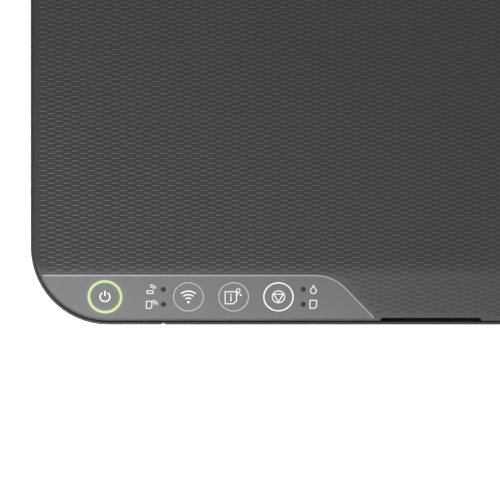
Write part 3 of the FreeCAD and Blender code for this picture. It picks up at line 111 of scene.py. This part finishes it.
class Finish:
    """A material or world under construction."""

    def __init__(self, name, owner=None):
        self.owner = owner or bpy.data.materials.new(name)
        self.owner.use_nodes = True
        self.tree = self.owner.node_tree
        self.tree.nodes.clear()

    def node(self, kind, settings, inputs, out=0):
        """Adds a node: its settings first, then the values or links of its sockets."""
        made = self.tree.nodes.new(kind)
        for key, value in settings.items():
            setattr(made, key, value)
        for key, value in inputs.items():
            socket = made.inputs[key]
            if isinstance(value, Value):
                self.tree.links.new(value.socket, socket)
            elif socket.type == "RGBA" and len(value) == 3:
                socket.default_value = (*value, 1)
            else:
                socket.default_value = value
        return Value(self, made.outputs[out]) if len(made.outputs) else made

    def place(self):
        """Where a point is on the printer, in metres."""
        return self.node("ShaderNodeTexCoord", {}, {}, "Object")

    def axis(self, index):
        return self.node("ShaderNodeSeparateXYZ", {}, {0: self.place()}, index)

    def stretched(self, scale):
        return self.node("ShaderNodeMapping", {}, {"Vector": self.place(), "Scale": scale})

    def noise(self, size, detail=2.0, where=None):
        """Soft random grain whose spots are about a size across."""
        sockets = {"Vector": where or self.place(), "Scale": 1.0 / size, "Detail": detail}
        return self.node("ShaderNodeTexNoise", {}, sockets)

    def mix(self, factor, first, second):
        settings = {"data_type": "RGBA"}
        return self.node("ShaderNodeMix", settings, {0: factor, 6: first, 7: second}, 2)

    def bump(self, height, depth, strength=1.0):
        return self.node("ShaderNodeBump", {}, {"Strength": strength, "Distance": depth, "Height": height})

    def surface(self, sockets):
        """Ends the material in a Principled shader with these sockets."""
        shader = self.node("ShaderNodeBsdfPrincipled", {}, sockets)
        self.node("ShaderNodeOutputMaterial", {}, {"Surface": shader})
        return self.owner


def seen_directly(finish):
    """1 for rays from the eye, a reflection or a clear part, and 0 for light that falls on things."""
    seen = finish.node("ShaderNodeLightPath", {}, {}, "Is Camera Ray")
    for way in ("Is Glossy Ray", "Is Transmission Ray"):
        other = finish.node("ShaderNodeLightPath", {}, {}, way)
        seen = finish.node("ShaderNodeMath", {"operation": "MAXIMUM"}, {0: seen, 1: other})
    return seen


WHITE = (1.0, 1.0, 1.0)
SKY_LIGHT = 0.5
world = bpy.data.worlds.new("studio")
bpy.context.scene.world = world
sky = Finish("studio", world)
strength = SKY_LIGHT + (1.0 - SKY_LIGHT) * seen_directly(sky)
background = sky.node("ShaderNodeBackground", {}, {"Color": WHITE, "Strength": strength})
sky.node("ShaderNodeOutputWorld", {}, {"Surface": background})

FLOOR_REACH = 6.0
FLOOR_GLOW = 0.62
FLOOR_GREY = (0.72, 0.72, 0.72)
floor_mesh = bpy.data.meshes.new("floor")
bm = bmesh.new()
bmesh.ops.create_grid(bm, x_segments=1, y_segments=1, size=FLOOR_REACH)
bm.to_mesh(floor_mesh)
bm.free()
floor = bpy.data.objects.new("floor", floor_mesh)
bpy.context.scene.collection.objects.link(floor)
table = Finish("table")
matt = table.node("ShaderNodeBsdfDiffuse", {}, {"Color": FLOOR_GREY})
glow = table.node("ShaderNodeEmission", {}, {"Color": WHITE, "Strength": FLOOR_GLOW})
lit = table.node("ShaderNodeAddShader", {}, {0: matt, 1: glow})
both = table.node("ShaderNodeMixShader", {}, {0: seen_directly(table), 1: matt, 2: lit})
table.node("ShaderNodeOutputMaterial", {}, {"Surface": both})
floor_mesh.materials.append(table.owner)


def softbox(name, place, target, size, power):
    """A rectangular lamp that faces a target and isn't seen itself."""
    data = bpy.data.lights.new(name, "AREA")
    data.shape = "RECTANGLE"
    data.size, data.size_y = size
    data.energy = power
    lamp = bpy.data.objects.new(name, data)
    lamp.location = place
    lamp.rotation_euler = (Vector(target) - Vector(place)).to_track_quat("-Z", "Y").to_euler()
    lamp.visible_camera = False
    bpy.context.scene.collection.objects.link(lamp)


PANEL_MIDDLE = (cad_low[0] + 80 * MM, cad_low[1], LID_TOP)
softbox("front_lamp", (-0.30, -0.92, 1.10), PANEL_MIDDLE, (0.9, 0.55), 3.0)
softbox("near_lamp", (-0.20, -0.37, 0.36), PANEL_MIDDLE, (0.5, 0.18), 2.0)
softbox("low_lamp", (-0.1, -1.5, 0.75), PANEL_MIDDLE, (1.0, 0.4), 3.0)
softbox("left_lamp", (-1.6, 0.5, 1.3), (0, 0, 0.1), (1.0, 1.0), 1.0)
softbox("right_lamp", (1.5, -1.0, 1.4), (0, 0, 0.1), (1.0, 1.0), 2.5)


# ---------------------------------------------------------------- casing, tray and feeder mouldings
# Injection-moulded dark grey ABS with a fine spark-eroded grain, snapped and screwed together. The
# inner mouldings come from the same material with a plainer face.
def moulded(name, colour, rough, grain=0.35 * MM, depth=0.05 * MM, specular=0.4):
    """Moulded plastic: fine grain, and a faint cloudiness in its colour and gloss."""
    made = Finish(name)
    clouds = made.noise(35 * MM, 3.0)
    fine = made.noise(grain, 2.0)
    darker = tuple(0.86 * c for c in colour)
    lighter = tuple(1.14 * c for c in colour)
    return made.surface({
        "Base Color": made.mix(0.7 * clouds + 0.3 * fine, darker, lighter),
        "Roughness": rough - 0.06 + 0.12 * made.noise(9 * MM, 2.0),
        "Normal": made.bump(fine, depth, 0.6),
        "Specular IOR Level": specular,
    })


def dress(material, *names):
    """Gives a material to CAD nodes."""
    for name in names:
        slots = nodes[name].data.materials
        slots.clear()
        slots.append(material)


casing = moulded("casing", (0.026, 0.026, 0.027), 0.52, 0.45 * MM, 0.07 * MM)
dress(casing, "lower_case", "upper_housing", "rear_cover", "front_fascia")
inner_black = moulded("inner_black", (0.017, 0.017, 0.018), 0.42, 0.8 * MM, 0.02 * MM)
tray_finish = moulded("tray_black", (0.022, 0.022, 0.023), 0.38, 0.6 * MM, 0.03 * MM)
dress(tray_finish, "output_tray", "tray_extension", "paper_stopper", "paper_support",
      "support_extension", "feeder_guard", "left_edge_guide", "right_edge_guide")
dress(inner_black, "platen", "pinch_arms", "star_wheel_bar", "carriage_body", "capping_base",
      "feed_frame", "hopper_plate", "power_supply", "ac_inlet", "eject_roller")
dress(moulded("inner_grey", (0.11, 0.115, 0.12), 0.4, 0.8 * MM, 0.02 * MM),
      "print_head", "cap_holder", "suction_pump")
dress(moulded("acetal", (0.52, 0.51, 0.47), 0.35, 1.2 * MM, 0.015 * MM, 0.5),
      "feed_gear", "idler_gear", "drive_pulley", "idler_pulley", "pinch_rollers")

# ---------------------------------------------------------------- lid and its woven relief
# One large moulding in dark grey ABS. Its outer face carries a low relief like tiny roof tiles,
# each rising towards the front, with every second column set half a tile back.
lid_finish = moulded("lid", (0.026, 0.026, 0.0264), 0.40, 0.30 * MM, 0.035 * MM, 0.25)
dress(lid_finish, "printer_cover")

TILE_PITCH_X = 3.74 * MM
TILE_PITCH_Y = 2.31 * MM
TILE_WIDTH = 3.34 * MM
TILE_FACET = 0.55 * MM
TILE_RISE = 0.16 * MM
TILE_ROOT = 0.04 * MM
TILE_FIRST_X = -170.07 * MM
TILE_FIRST_Y = -116.84 * MM
RIM_MARGIN = 1.4 * MM
PANEL_MARGIN = 0.35 * MM
LEVEL_SLACK = 0.4 * MM
REAR_PLAIN = 8 * MM
ABOVE_ALL = 1.0
TILT = math.radians(17.2)
CREASE_FROM_FRONT = 23.4 * MM


def outside(*names):
    """Something that finds the outer face of some nodes, looking down on them."""
    whole = bmesh.new()
    for name in names:
        whole.from_mesh(nodes[name].data)
    tree = BVHTree.FromBMesh(whole)
    whole.free()
    return tree


def height_at(tree, x, y):
    """Height of the outer face under a point, or None beside it."""
    hit = tree.ray_cast(Vector((x, y, ABOVE_ALL)), Vector((0, 0, -1)))[0]
    return hit.z if hit else None


def band_height(y):
    """The least height of the lid's skin at a place: level behind the crease, sloping before it."""
    return crease_z - math.tan(TILT) * max(crease_y - y, 0.0)


crease_y = cad_low[1] + CREASE_FROM_FRONT
crease_z = height_at(outside("printer_cover"), 0.0, crease_y)


def new_piece(name, mesh_source, material, body):
    """Makes an object of a bmesh, finished in a material and carried by a body."""
    mesh = bpy.data.meshes.new(name)
    mesh_source.to_mesh(mesh)
    mesh_source.free()
    mesh.materials.append(material)
    piece = bpy.data.objects.new(name, mesh)
    bpy.context.scene.collection.objects.link(piece)
    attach(piece, body)
    return piece


def one_tile():
    """A single tile, its front edge on the origin: a ramp that ends in a short front facet."""
    tile = bmesh.new()
    bmesh.ops.create_cube(tile, size=1.0)
    for v in tile.verts:
        at_front = v.co.y < 0
        v.co.x *= TILE_WIDTH
        if v.co.z < 0:
            v.co.y = 0.0 if at_front else TILE_PITCH_Y
            v.co.z = -TILE_ROOT
        else:
            v.co.y = TILE_FACET if at_front else TILE_PITCH_Y
            v.co.z = TILE_RISE if at_front else 0.0
    under = [f for f in tile.faces if f.normal.z < -0.5]
    bmesh.ops.delete(tile, geom=under, context="FACES_ONLY")
    return tile


def tiled(columns, rows):
    """A field of tiles, made by arrays: pairs of columns, the second half a tile back."""
    pair = one_tile()
    copy = bmesh.ops.duplicate(pair, geom=pair.verts[:] + pair.edges[:] + pair.faces[:])["geom"]
    moved = [g for g in copy if isinstance(g, bmesh.types.BMVert)]
    bmesh.ops.translate(pair, verts=moved, vec=(TILE_PITCH_X, TILE_PITCH_Y / 2, 0))
    mesh = bpy.data.meshes.new("tiles")
    pair.to_mesh(mesh)
    pair.free()
    field = bpy.data.objects.new("tiles", mesh)
    bpy.context.scene.collection.objects.link(field)
    for count, step in ((columns // 2, (2 * TILE_PITCH_X, 0, 0)), (rows, (0, TILE_PITCH_Y, 0))):
        array = field.modifiers.new("array", "ARRAY")
        array.count = count
        array.use_relative_offset = False
        array.use_constant_offset = True
        array.constant_offset_displace = step
    bpy.context.view_layer.update()
    shown = field.evaluated_get(bpy.context.evaluated_depsgraph_get())
    result = bmesh.new()
    result.from_mesh(shown.to_mesh())
    bpy.data.objects.remove(field)
    return result


cover_face = outside("printer_cover")
whole_face = outside("printer_cover", "control_panel")
low_corner, high_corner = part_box("printer_cover")
columns_left = math.ceil((TILE_FIRST_X - low_corner[0]) / TILE_PITCH_X / 2) * 2
rows_front = math.ceil((TILE_FIRST_Y - low_corner[1]) / TILE_PITCH_Y)
start_x = TILE_FIRST_X - columns_left * TILE_PITCH_X
start_y = TILE_FIRST_Y - rows_front * TILE_PITCH_Y
column_count = math.ceil((high_corner[0] - start_x) / TILE_PITCH_X / 2) * 2
row_count = math.ceil((high_corner[1] - REAR_PLAIN - start_y) / TILE_PITCH_Y)
weave = tiled(column_count, row_count)
bmesh.ops.translate(weave, verts=weave.verts, vec=(start_x, start_y, 0))
weave.verts.ensure_lookup_table()
CORNERS = 8
spare = []
for first in range(0, len(weave.verts), CORNERS):
    tile = weave.verts[first:first + CORNERS]
    xs = [v.co.x for v in tile]
    ys = [v.co.y for v in tile]
    fits = True
    for side in (-1, 1):
        for end in (-1, 1):
            x = max(xs) if side > 0 else min(xs)
            y = max(ys) if end > 0 else min(ys)
            level = height_at(cover_face, x + side * PANEL_MARGIN, y + end * PANEL_MARGIN)
            beyond = height_at(whole_face, x + side * RIM_MARGIN, y + end * RIM_MARGIN)
            if level is None or beyond is None or level < band_height(y) - LEVEL_SLACK:
                fits = False
            elif beyond < band_height(y) - 2 * LEVEL_SLACK:
                fits = False
    if fits:
        for v in tile:
            v.co.z += height_at(cover_face, v.co.x, v.co.y)
    else:
        spare += tile
bmesh.ops.delete(weave, geom=spare, context="VERTS")
new_piece("lid_relief", weave, lid_finish, "cover")

# ---------------------------------------------------------------- control panel and its keys
# A smooth satin insert, lighter than the lid, glued into a pocket of its front band. The four keys
# are of the same plastic, and a faint green glow round the first one's ring is painted on both as
# emission.
ring_low, ring_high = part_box("power_light_ring")
POWER_AT = ((ring_low[0] + ring_high[0]) / 2, (ring_low[1] + ring_high[1]) / 2)
RING_RADIUS = 7.53 * MM
# Width and strength of the green glow painted round the power ring on the panel and keys.
PAINTED_GLOW_REACH = 0.9 * MM
PAINTED_GLOW_STRENGTH = 0.11
GREEN = (0.50, 0.74, 0.21)


def satin(name, colour, rough):
    """Smooth satin plastic, with a painted green glow in its emission where the ring is near."""
    made = Finish(name)
    # Painted glow: green emission that fades away from the ring's edge, standing in for light spilling
    # from it.
    across = (made.axis(0) - POWER_AT[0]) ** 2.0
    along = ((made.axis(1) - POWER_AT[1]) / math.cos(TILT)) ** 2.0
    away = abs((across + along) ** 0.5 - RING_RADIUS) / PAINTED_GLOW_REACH
    painted_glow_falloff = made.node("ShaderNodeMath", {"operation": "EXPONENT"}, {0: -away})
    clouds = made.noise(20 * MM, 3.0)
    return made.surface({
        "Base Color": made.mix(clouds, tuple(0.93 * c for c in colour), tuple(1.07 * c for c in colour)),
        "Roughness": rough - 0.04 + 0.08 * made.noise(6 * MM),
        "Normal": made.bump(made.noise(0.25 * MM), 0.008 * MM, 0.5),
        "Specular IOR Level": 0.25,
        "Emission Color": made.mix(painted_glow_falloff * PAINTED_GLOW_STRENGTH, (0.0, 0.0, 0.0), GREEN),
        "Emission Strength": 1.0,
    })


panel_finish = satin("panel_satin_painted_glow", (0.064, 0.064, 0.0665), 0.40)
dress(panel_finish, "control_panel")
key_finish = satin("key_satin_painted_glow", (0.066, 0.066, 0.0685), 0.40)
dress(key_finish, "power_button", "wireless_button", "status_button", "stop_button")

# ---------------------------------------------------------------- light ring and lamp windows
# The ring is a clear green light guide lit from the board below. The four small windows are smoked,
# and dark while their lamps are off.
ring_glow = Finish("ring_light")
uneven = ring_glow.noise(5 * MM, 2.0)
ring_light = ring_glow.surface({
    "Base Color": (0.05, 0.09, 0.03),
    "Roughness": 0.3 + 0.1 * uneven,
    "Emission Color": ring_glow.mix(uneven, tuple(0.85 * c for c in GREEN), GREEN),
    "Emission Strength": 0.66,
})
dress(ring_light, "power_light_ring")
dress(moulded("smoked_window", (0.012, 0.012, 0.012), 0.5, 0.5 * MM, 0.004 * MM, 0.1), "indicator_lenses")

# ---------------------------------------------------------------- printing on the panel and keys
# Thin light grey screen printing: a ring round each key's edge, and a plain symbol for what it or
# the lamp beside it stands for. Each mark is a skin of ink that lies on the face below it.
INK_LIFT = 0.012 * MM
INK_THICK = 0.02 * MM
INK_PALE = (0.50, 0.50, 0.51)
ink_print = moulded("pale_print", INK_PALE, 0.5, 0.2 * MM, 0.004 * MM)
ink_soft = moulded("soft_print", (0.30, 0.30, 0.31), 0.5, 0.2 * MM, 0.004 * MM)
ARC_STEP = math.radians(9)


def stroke(mesh, points, width, closed=False):
    """A ribbon of even width through points given in millimetres."""
    line = points + points[:1] if closed else points
    grid = bmesh.ops.create_grid(mesh, x_segments=len(line) - 1, y_segments=1)["verts"]
    for index, (x, y) in enumerate(line):
        before = line[index - 1] if index else (line[-2] if closed else line[0])
        after = line[index + 1] if index < len(line) - 1 else (line[1] if closed else line[-1])
        came = Vector((x - before[0], y - before[1])).normalized()
        goes = Vector((after[0] - x, after[1] - y)).normalized()
        run = (came + goes).normalized()
        reach = width / 2 / max(run.dot(goes if goes.length else came), 0.5)
        side = Vector((-run.y, run.x)) * reach
        grid[index].co = (x - side.x, y - side.y, 0)
        grid[index + len(line)].co = (x + side.x, y + side.y, 0)


def dot(mesh, x, y, radius):
    bmesh.ops.create_circle(mesh, cap_ends=True, segments=16, radius=radius,
                            matrix=Matrix.Translation((x, y, 0)))


def arc(x, y, radius, start, end):
    """Points of an arc, its angles in degrees from +X."""
    steps = max(2, round(abs(math.radians(end - start)) / ARC_STEP))
    angles = [math.radians(start + (end - start) * k / steps) for k in range(steps + 1)]
    return [(x + radius * math.cos(a), y + radius * math.sin(a)) for a in angles]


def ring(radius):
    return arc(0, 0, radius, 0, 360)[:-1]


def lay(name, drawing, place, on, body, ink, lean=math.cos(TILT)):
    """Lays a flat drawing, in millimetres about a place, on the face of some nodes as a skin of ink."""
    bmesh.ops.remove_doubles(drawing, verts=drawing.verts, dist=0.001)
    bmesh.ops.recalc_face_normals(drawing, faces=drawing.faces)
    if sum(f.normal.z for f in drawing.faces) < 0:
        bmesh.ops.reverse_faces(drawing, faces=drawing.faces)
    face = outside(*on)
    for v in drawing.verts:
        x = place[0] + v.co.x * MM
        y = place[1] + v.co.y * MM * lean
        level = height_at(face, x, y)
        v.co = (x, y, (level or LID_TOP) + INK_LIFT + INK_THICK)
    bmesh.ops.solidify(drawing, geom=drawing.faces[:], thickness=INK_THICK)
    return new_piece(name, drawing, ink, body)


def middle_of(node):
    low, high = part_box(node)
    return ((low[0] + high[0]) / 2, (low[1] + high[1]) / 2)


LINE = 0.45
FINE = 0.36
SIGNAL = (50, 130)


def power_symbol(mesh):
    stroke(mesh, arc(0, 0, 2.3, 122, 418), 0.6)
    stroke(mesh, [(0, 0.4), (0, 3.0)], 0.6)


def wireless_symbol(mesh):
    dot(mesh, 0, -2.6, 0.6)
    for radius in (2.0, 3.7, 5.4):
        stroke(mesh, arc(0, -2.6, radius, *SIGNAL), 0.62)


def page(mesh, left, low, right, high, cut, width):
    """A sheet with one corner cut off."""
    stroke(mesh, [(left, high), (left, low), (right - cut, low), (right, low + cut), (right, high)],
           width, closed=True)


def status_symbol(mesh):
    page(mesh, -3.9, -3.4, 1.4, 2.5, 1.5, LINE)
    dot(mesh, -1.2, 1.1, 0.38)
    stroke(mesh, [(-1.2, 0.2), (-1.2, -2.2)], 0.5)
    stroke(mesh, [(x + 2.2, y + 3.1) for x, y in ring(0.85)], FINE, closed=True)
    for x in (1.5, 3.4):
        dot(mesh, x, 0.9, 0.45)
        stroke(mesh, [(2.3, 2.2), (x, 0.9)], 0.25)


def stop_symbol(mesh):
    stroke(mesh, ring(2.9), LINE, closed=True)
    stroke(mesh, [(-2.2, 1.3), (2.2, 1.3), (0, -2.5)], LINE, closed=True)


def network_lamp_symbol(mesh):
    stroke(mesh, [(-2.3, -1.9), (0.5, -1.9), (0.5, -0.6), (-2.3, -0.6)], FINE, closed=True)
    for radius in (1.2, 2.2):
        stroke(mesh, arc(-0.3, 0.0, radius, 15, 110), FINE)


def sending_lamp_symbol(mesh):
    page(mesh, -2.7, -2.0, -0.1, 1.5, 0.7, FINE)
    for radius in (1.1, 2.1):
        stroke(mesh, arc(0.4, -0.2, radius, 0, 95), FINE)


def ink_lamp_symbol(mesh):
    stroke(mesh, arc(0, -0.6, 1.35, 150, 390) + [(0, 2.0)], 0.4, closed=True)


def paper_lamp_symbol(mesh):
    page(mesh, -1.55, -1.95, 1.55, 1.95, 1.0, 0.4)


KEY_ROW = cad_low[1] + 13.1 * MM
KEY_MARKS = (("power", power_symbol, None), ("wireless", wireless_symbol, (6.99, 0.42)),
             ("status", status_symbol, (6.98, 0.42)), ("stop", stop_symbol, (6.87, 0.62)))
for key, symbol, edge_ring in KEY_MARKS:
    drawing = bmesh.new()
    symbol(drawing)
    button = key + "_button"
    at = (middle_of(button)[0], KEY_ROW)
    lay(key + "_symbol", drawing, at, [button], key + "_key", ink_print)
    if edge_ring:
        drawing = bmesh.new()
        stroke(drawing, ring(edge_ring[0]), edge_ring[1], closed=True)
        ink = ink_print if key == "stop" else ink_soft
        lay(key + "_ring", drawing, at, [button], key + "_key", ink)

LAMP_ROW_UP = KEY_ROW + 3.4 * MM
LAMP_ROW_DOWN = KEY_ROW - 3.5 * MM
MARKS_LEFT = -130.5 * MM
MARKS_RIGHT = -55.1 * MM
LAMP_MARKS = (("network", network_lamp_symbol, MARKS_LEFT, LAMP_ROW_UP),
              ("sending", sending_lamp_symbol, MARKS_LEFT, LAMP_ROW_DOWN),
              ("ink", ink_lamp_symbol, MARKS_RIGHT, LAMP_ROW_UP),
              ("paper", paper_lamp_symbol, MARKS_RIGHT, LAMP_ROW_DOWN))
for lamp, symbol, x, y in LAMP_MARKS:
    drawing = bmesh.new()
    symbol(drawing)
    lay(lamp + "_lamp_symbol", drawing, (x, y), ["control_panel"], "cover", ink_print)

# ---------------------------------------------------------------- painted highlight along the panel's edge
# A pale ribbon laid flat along the insert's upper edge and slanting end is a painted highlight,
# standing in for the light that a thin chamfer there would catch as a pale line.
END_TURN = 45.7
END_RADIUS = 19.3
END_START = -54.0
EDGE_START = -181.2
EDGE_SET_IN = 0.35
EDGE_PARTS = 8
EDGE_WIDTH = 0.5
FOOT_FROM_FRONT = 3.4
crease_mm = crease_y / MM
end_arc = arc(END_START, crease_mm - END_RADIUS, END_RADIUS - EDGE_SET_IN, 90, 90 - END_TURN)
foot_mm = cad_low[1] / MM + FOOT_FROM_FRONT
last_x, last_y = end_arc[-1]
foot_x = last_x + (last_y - foot_mm) / math.tan(math.radians(END_TURN))
edge_step = (END_START - EDGE_START) / EDGE_PARTS
top_line = [(EDGE_START + k * edge_step, crease_mm - EDGE_SET_IN) for k in range(EDGE_PARTS)]
drawing = bmesh.new()
stroke(drawing, top_line + end_arc + [(foot_x, foot_mm)], EDGE_WIDTH)
# Painted highlight: a pale grey ribbon in place of light caught by the panel's edge.
edge_highlight_paint = moulded("panel_edge_painted_highlight", (0.19, 0.19, 0.195), 0.3, 0.3 * MM, 0.004 * MM)
lay("panel_edge_painted_highlight", drawing, (0, 0), ["control_panel", "printer_cover"], "cover", edge_highlight_paint,
    1.0)


# ---------------------------------------------------------------- steel, brass and motors
# The chassis is folded zinc-plated sheet, the shafts are ground steel, the motor pinion is turned
# brass, and each motor has a plated can.
def metal(name, colour, rough, stretch, size):
    """Metal with fine lines drawn out along one axis."""
    made = Finish(name)
    lines = made.noise(size, 3.0, made.stretched(stretch))
    return made.surface({
        "Base Color": made.mix(lines, tuple(0.85 * c for c in colour), colour),
        "Metallic": 1.0,
        "Roughness": rough - 0.08 + 0.16 * lines,
        "Normal": made.bump(lines, 0.01 * MM, 0.4),
    })


ALONG_X = (0.08, 1.0, 1.0)
dress(metal("zinc_sheet", (0.55, 0.56, 0.58), 0.38, ALONG_X, 0.8 * MM),
      "main_frame", "case_screws", "usb_port")
dress(metal("ground_steel", (0.62, 0.62, 0.64), 0.22, ALONG_X, 0.4 * MM),
      "feed_roller", "hinge_pins", "star_wheels")
dress(metal("turned_brass", (0.72, 0.52, 0.22), 0.28, (1.0, 1.0, 1.0), 0.3 * MM), "motor_pinion")
dress(metal("plated_can", (0.42, 0.42, 0.44), 0.33, ALONG_X, 0.6 * MM), "feed_motor", "carriage_motor")


# ---------------------------------------------------------------- circuit boards
# Glass-fibre boards under green solder mask, with a regular web of paler copper tracks beneath it.
def board_finish():
    made = Finish("green_mask")
    place = made.stretched((1.0, 1.0, 1.0))
    web = made.node("ShaderNodeTexBrick", {}, {
        "Vector": place, "Scale": 1.0 / (9 * MM), "Mortar Size": 0.05,
        "Color1": (0, 0, 0), "Color2": (0, 0, 0), "Mortar": (1, 1, 1),
    })
    return made.surface({
        "Base Color": made.mix(web, (0.008, 0.055, 0.022), (0.02, 0.12, 0.05)),
        "Roughness": 0.25 + 0.15 * made.noise(3 * MM),
        "Normal": made.bump(web, 0.03 * MM, 0.5),
    })


dress(board_finish(), "main_board", "panel_board")

# ---------------------------------------------------------------- rubber, cork and belt
# Soft black feet, tyre and belt with a dull bloom, and a cork-filled pad that keeps sheets apart.
rubber = moulded("rubber", (0.016, 0.016, 0.016), 0.75, 0.5 * MM, 0.04 * MM, 0.25)
dress(rubber, "rubber_feet", "pickup_roller", "drive_belt")
dress(moulded("cork", (0.30, 0.17, 0.09), 0.8, 0.9 * MM, 0.15 * MM, 0.2), "separation_pad")


# ---------------------------------------------------------------- clear parts, ink and fillers
# The tank is one clear moulding with four chambers behind the slots in the front wall, each partly
# full of ink, and each neck has a soft cap in its ink's colour. Disc and strip are clear film.
def clear(name, colour, rough):
    made = Finish(name)
    cloud = made.noise(12 * MM, 3.0)
    return made.surface({
        "Base Color": made.mix(cloud, tuple(0.92 * c for c in colour), colour),
        "Roughness": rough + 0.05 * cloud,
        "Transmission Weight": 0.9,
        "IOR": 1.45,
    })


dress(clear("clear_moulding", (0.86, 0.88, 0.90), 0.10), "ink_tank")
dress(clear("clear_film", (0.80, 0.82, 0.86), 0.06), "encoder_disc", "encoder_strip")

INKS = {
    "black": ((0.010, 0.010, 0.012), 0.62),
    "cyan": ((0.010, 0.26, 0.50), 0.74),
    "magenta": ((0.50, 0.015, 0.16), 0.52),
    "yellow": ((0.80, 0.56, 0.015), 0.68),
}
CHAMBER_GAP = 2.4 * MM
CHAMBER_DEEP = 62 * MM
CHAMBER_TALL = 98 * MM
CHAMBER_FLOOR = 3 * MM
CORNER = 36.4 * MM
WALLS = 6.0 * MM
INK_EDGE = 1.0 * MM
tank_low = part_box("ink_tank")[0]
ink_low = tank_low[2] + CHAMBER_FLOOR
chamber_left = tank_low[0]
for colour, (shade, filled) in INKS.items():
    cap = "tank_cap_" + colour
    dress(moulded("cap_" + colour, tuple(0.9 * c + 0.01 for c in shade), 0.5, 0.6 * MM, 0.02 * MM), cap)
    chamber_right = chamber_left + 2 * (middle_of(cap)[0] - chamber_left)
    low_x = chamber_left + CHAMBER_GAP
    high_x = chamber_right - CHAMBER_GAP
    chamber_left = chamber_right
    from_centre = max(high_x - (cad_high[0] - CORNER), 0.0)
    reach = CORNER - WALLS
    bow = math.sqrt(max(reach ** 2 - from_centre ** 2, 0.0))
    low_y = cad_low[1] + CORNER - bow
    ink = bmesh.new()
    bmesh.ops.create_cube(ink, size=1.0)
    high_z = ink_low + CHAMBER_TALL * filled
    sizes = (high_x - low_x, CHAMBER_DEEP, high_z - ink_low)
    bmesh.ops.scale(ink, verts=ink.verts, vec=sizes)
    middle = ((low_x + high_x) / 2, low_y + CHAMBER_DEEP / 2, high_z - sizes[2] / 2)
    bmesh.ops.translate(ink, verts=ink.verts, vec=middle)
    bmesh.ops.bevel(ink, geom=ink.edges[:], offset=INK_EDGE, segments=2, profile=0.5,
                    affect="EDGES", material=-1)
    liquid = moulded("ink_" + colour, shade, 0.12, 4 * MM, 0.002 * MM, 0.5)
    new_piece("ink_" + colour, ink, liquid, "chassis")

view = bpy.context.scene.view_settings
view.view_transform = "Standard"
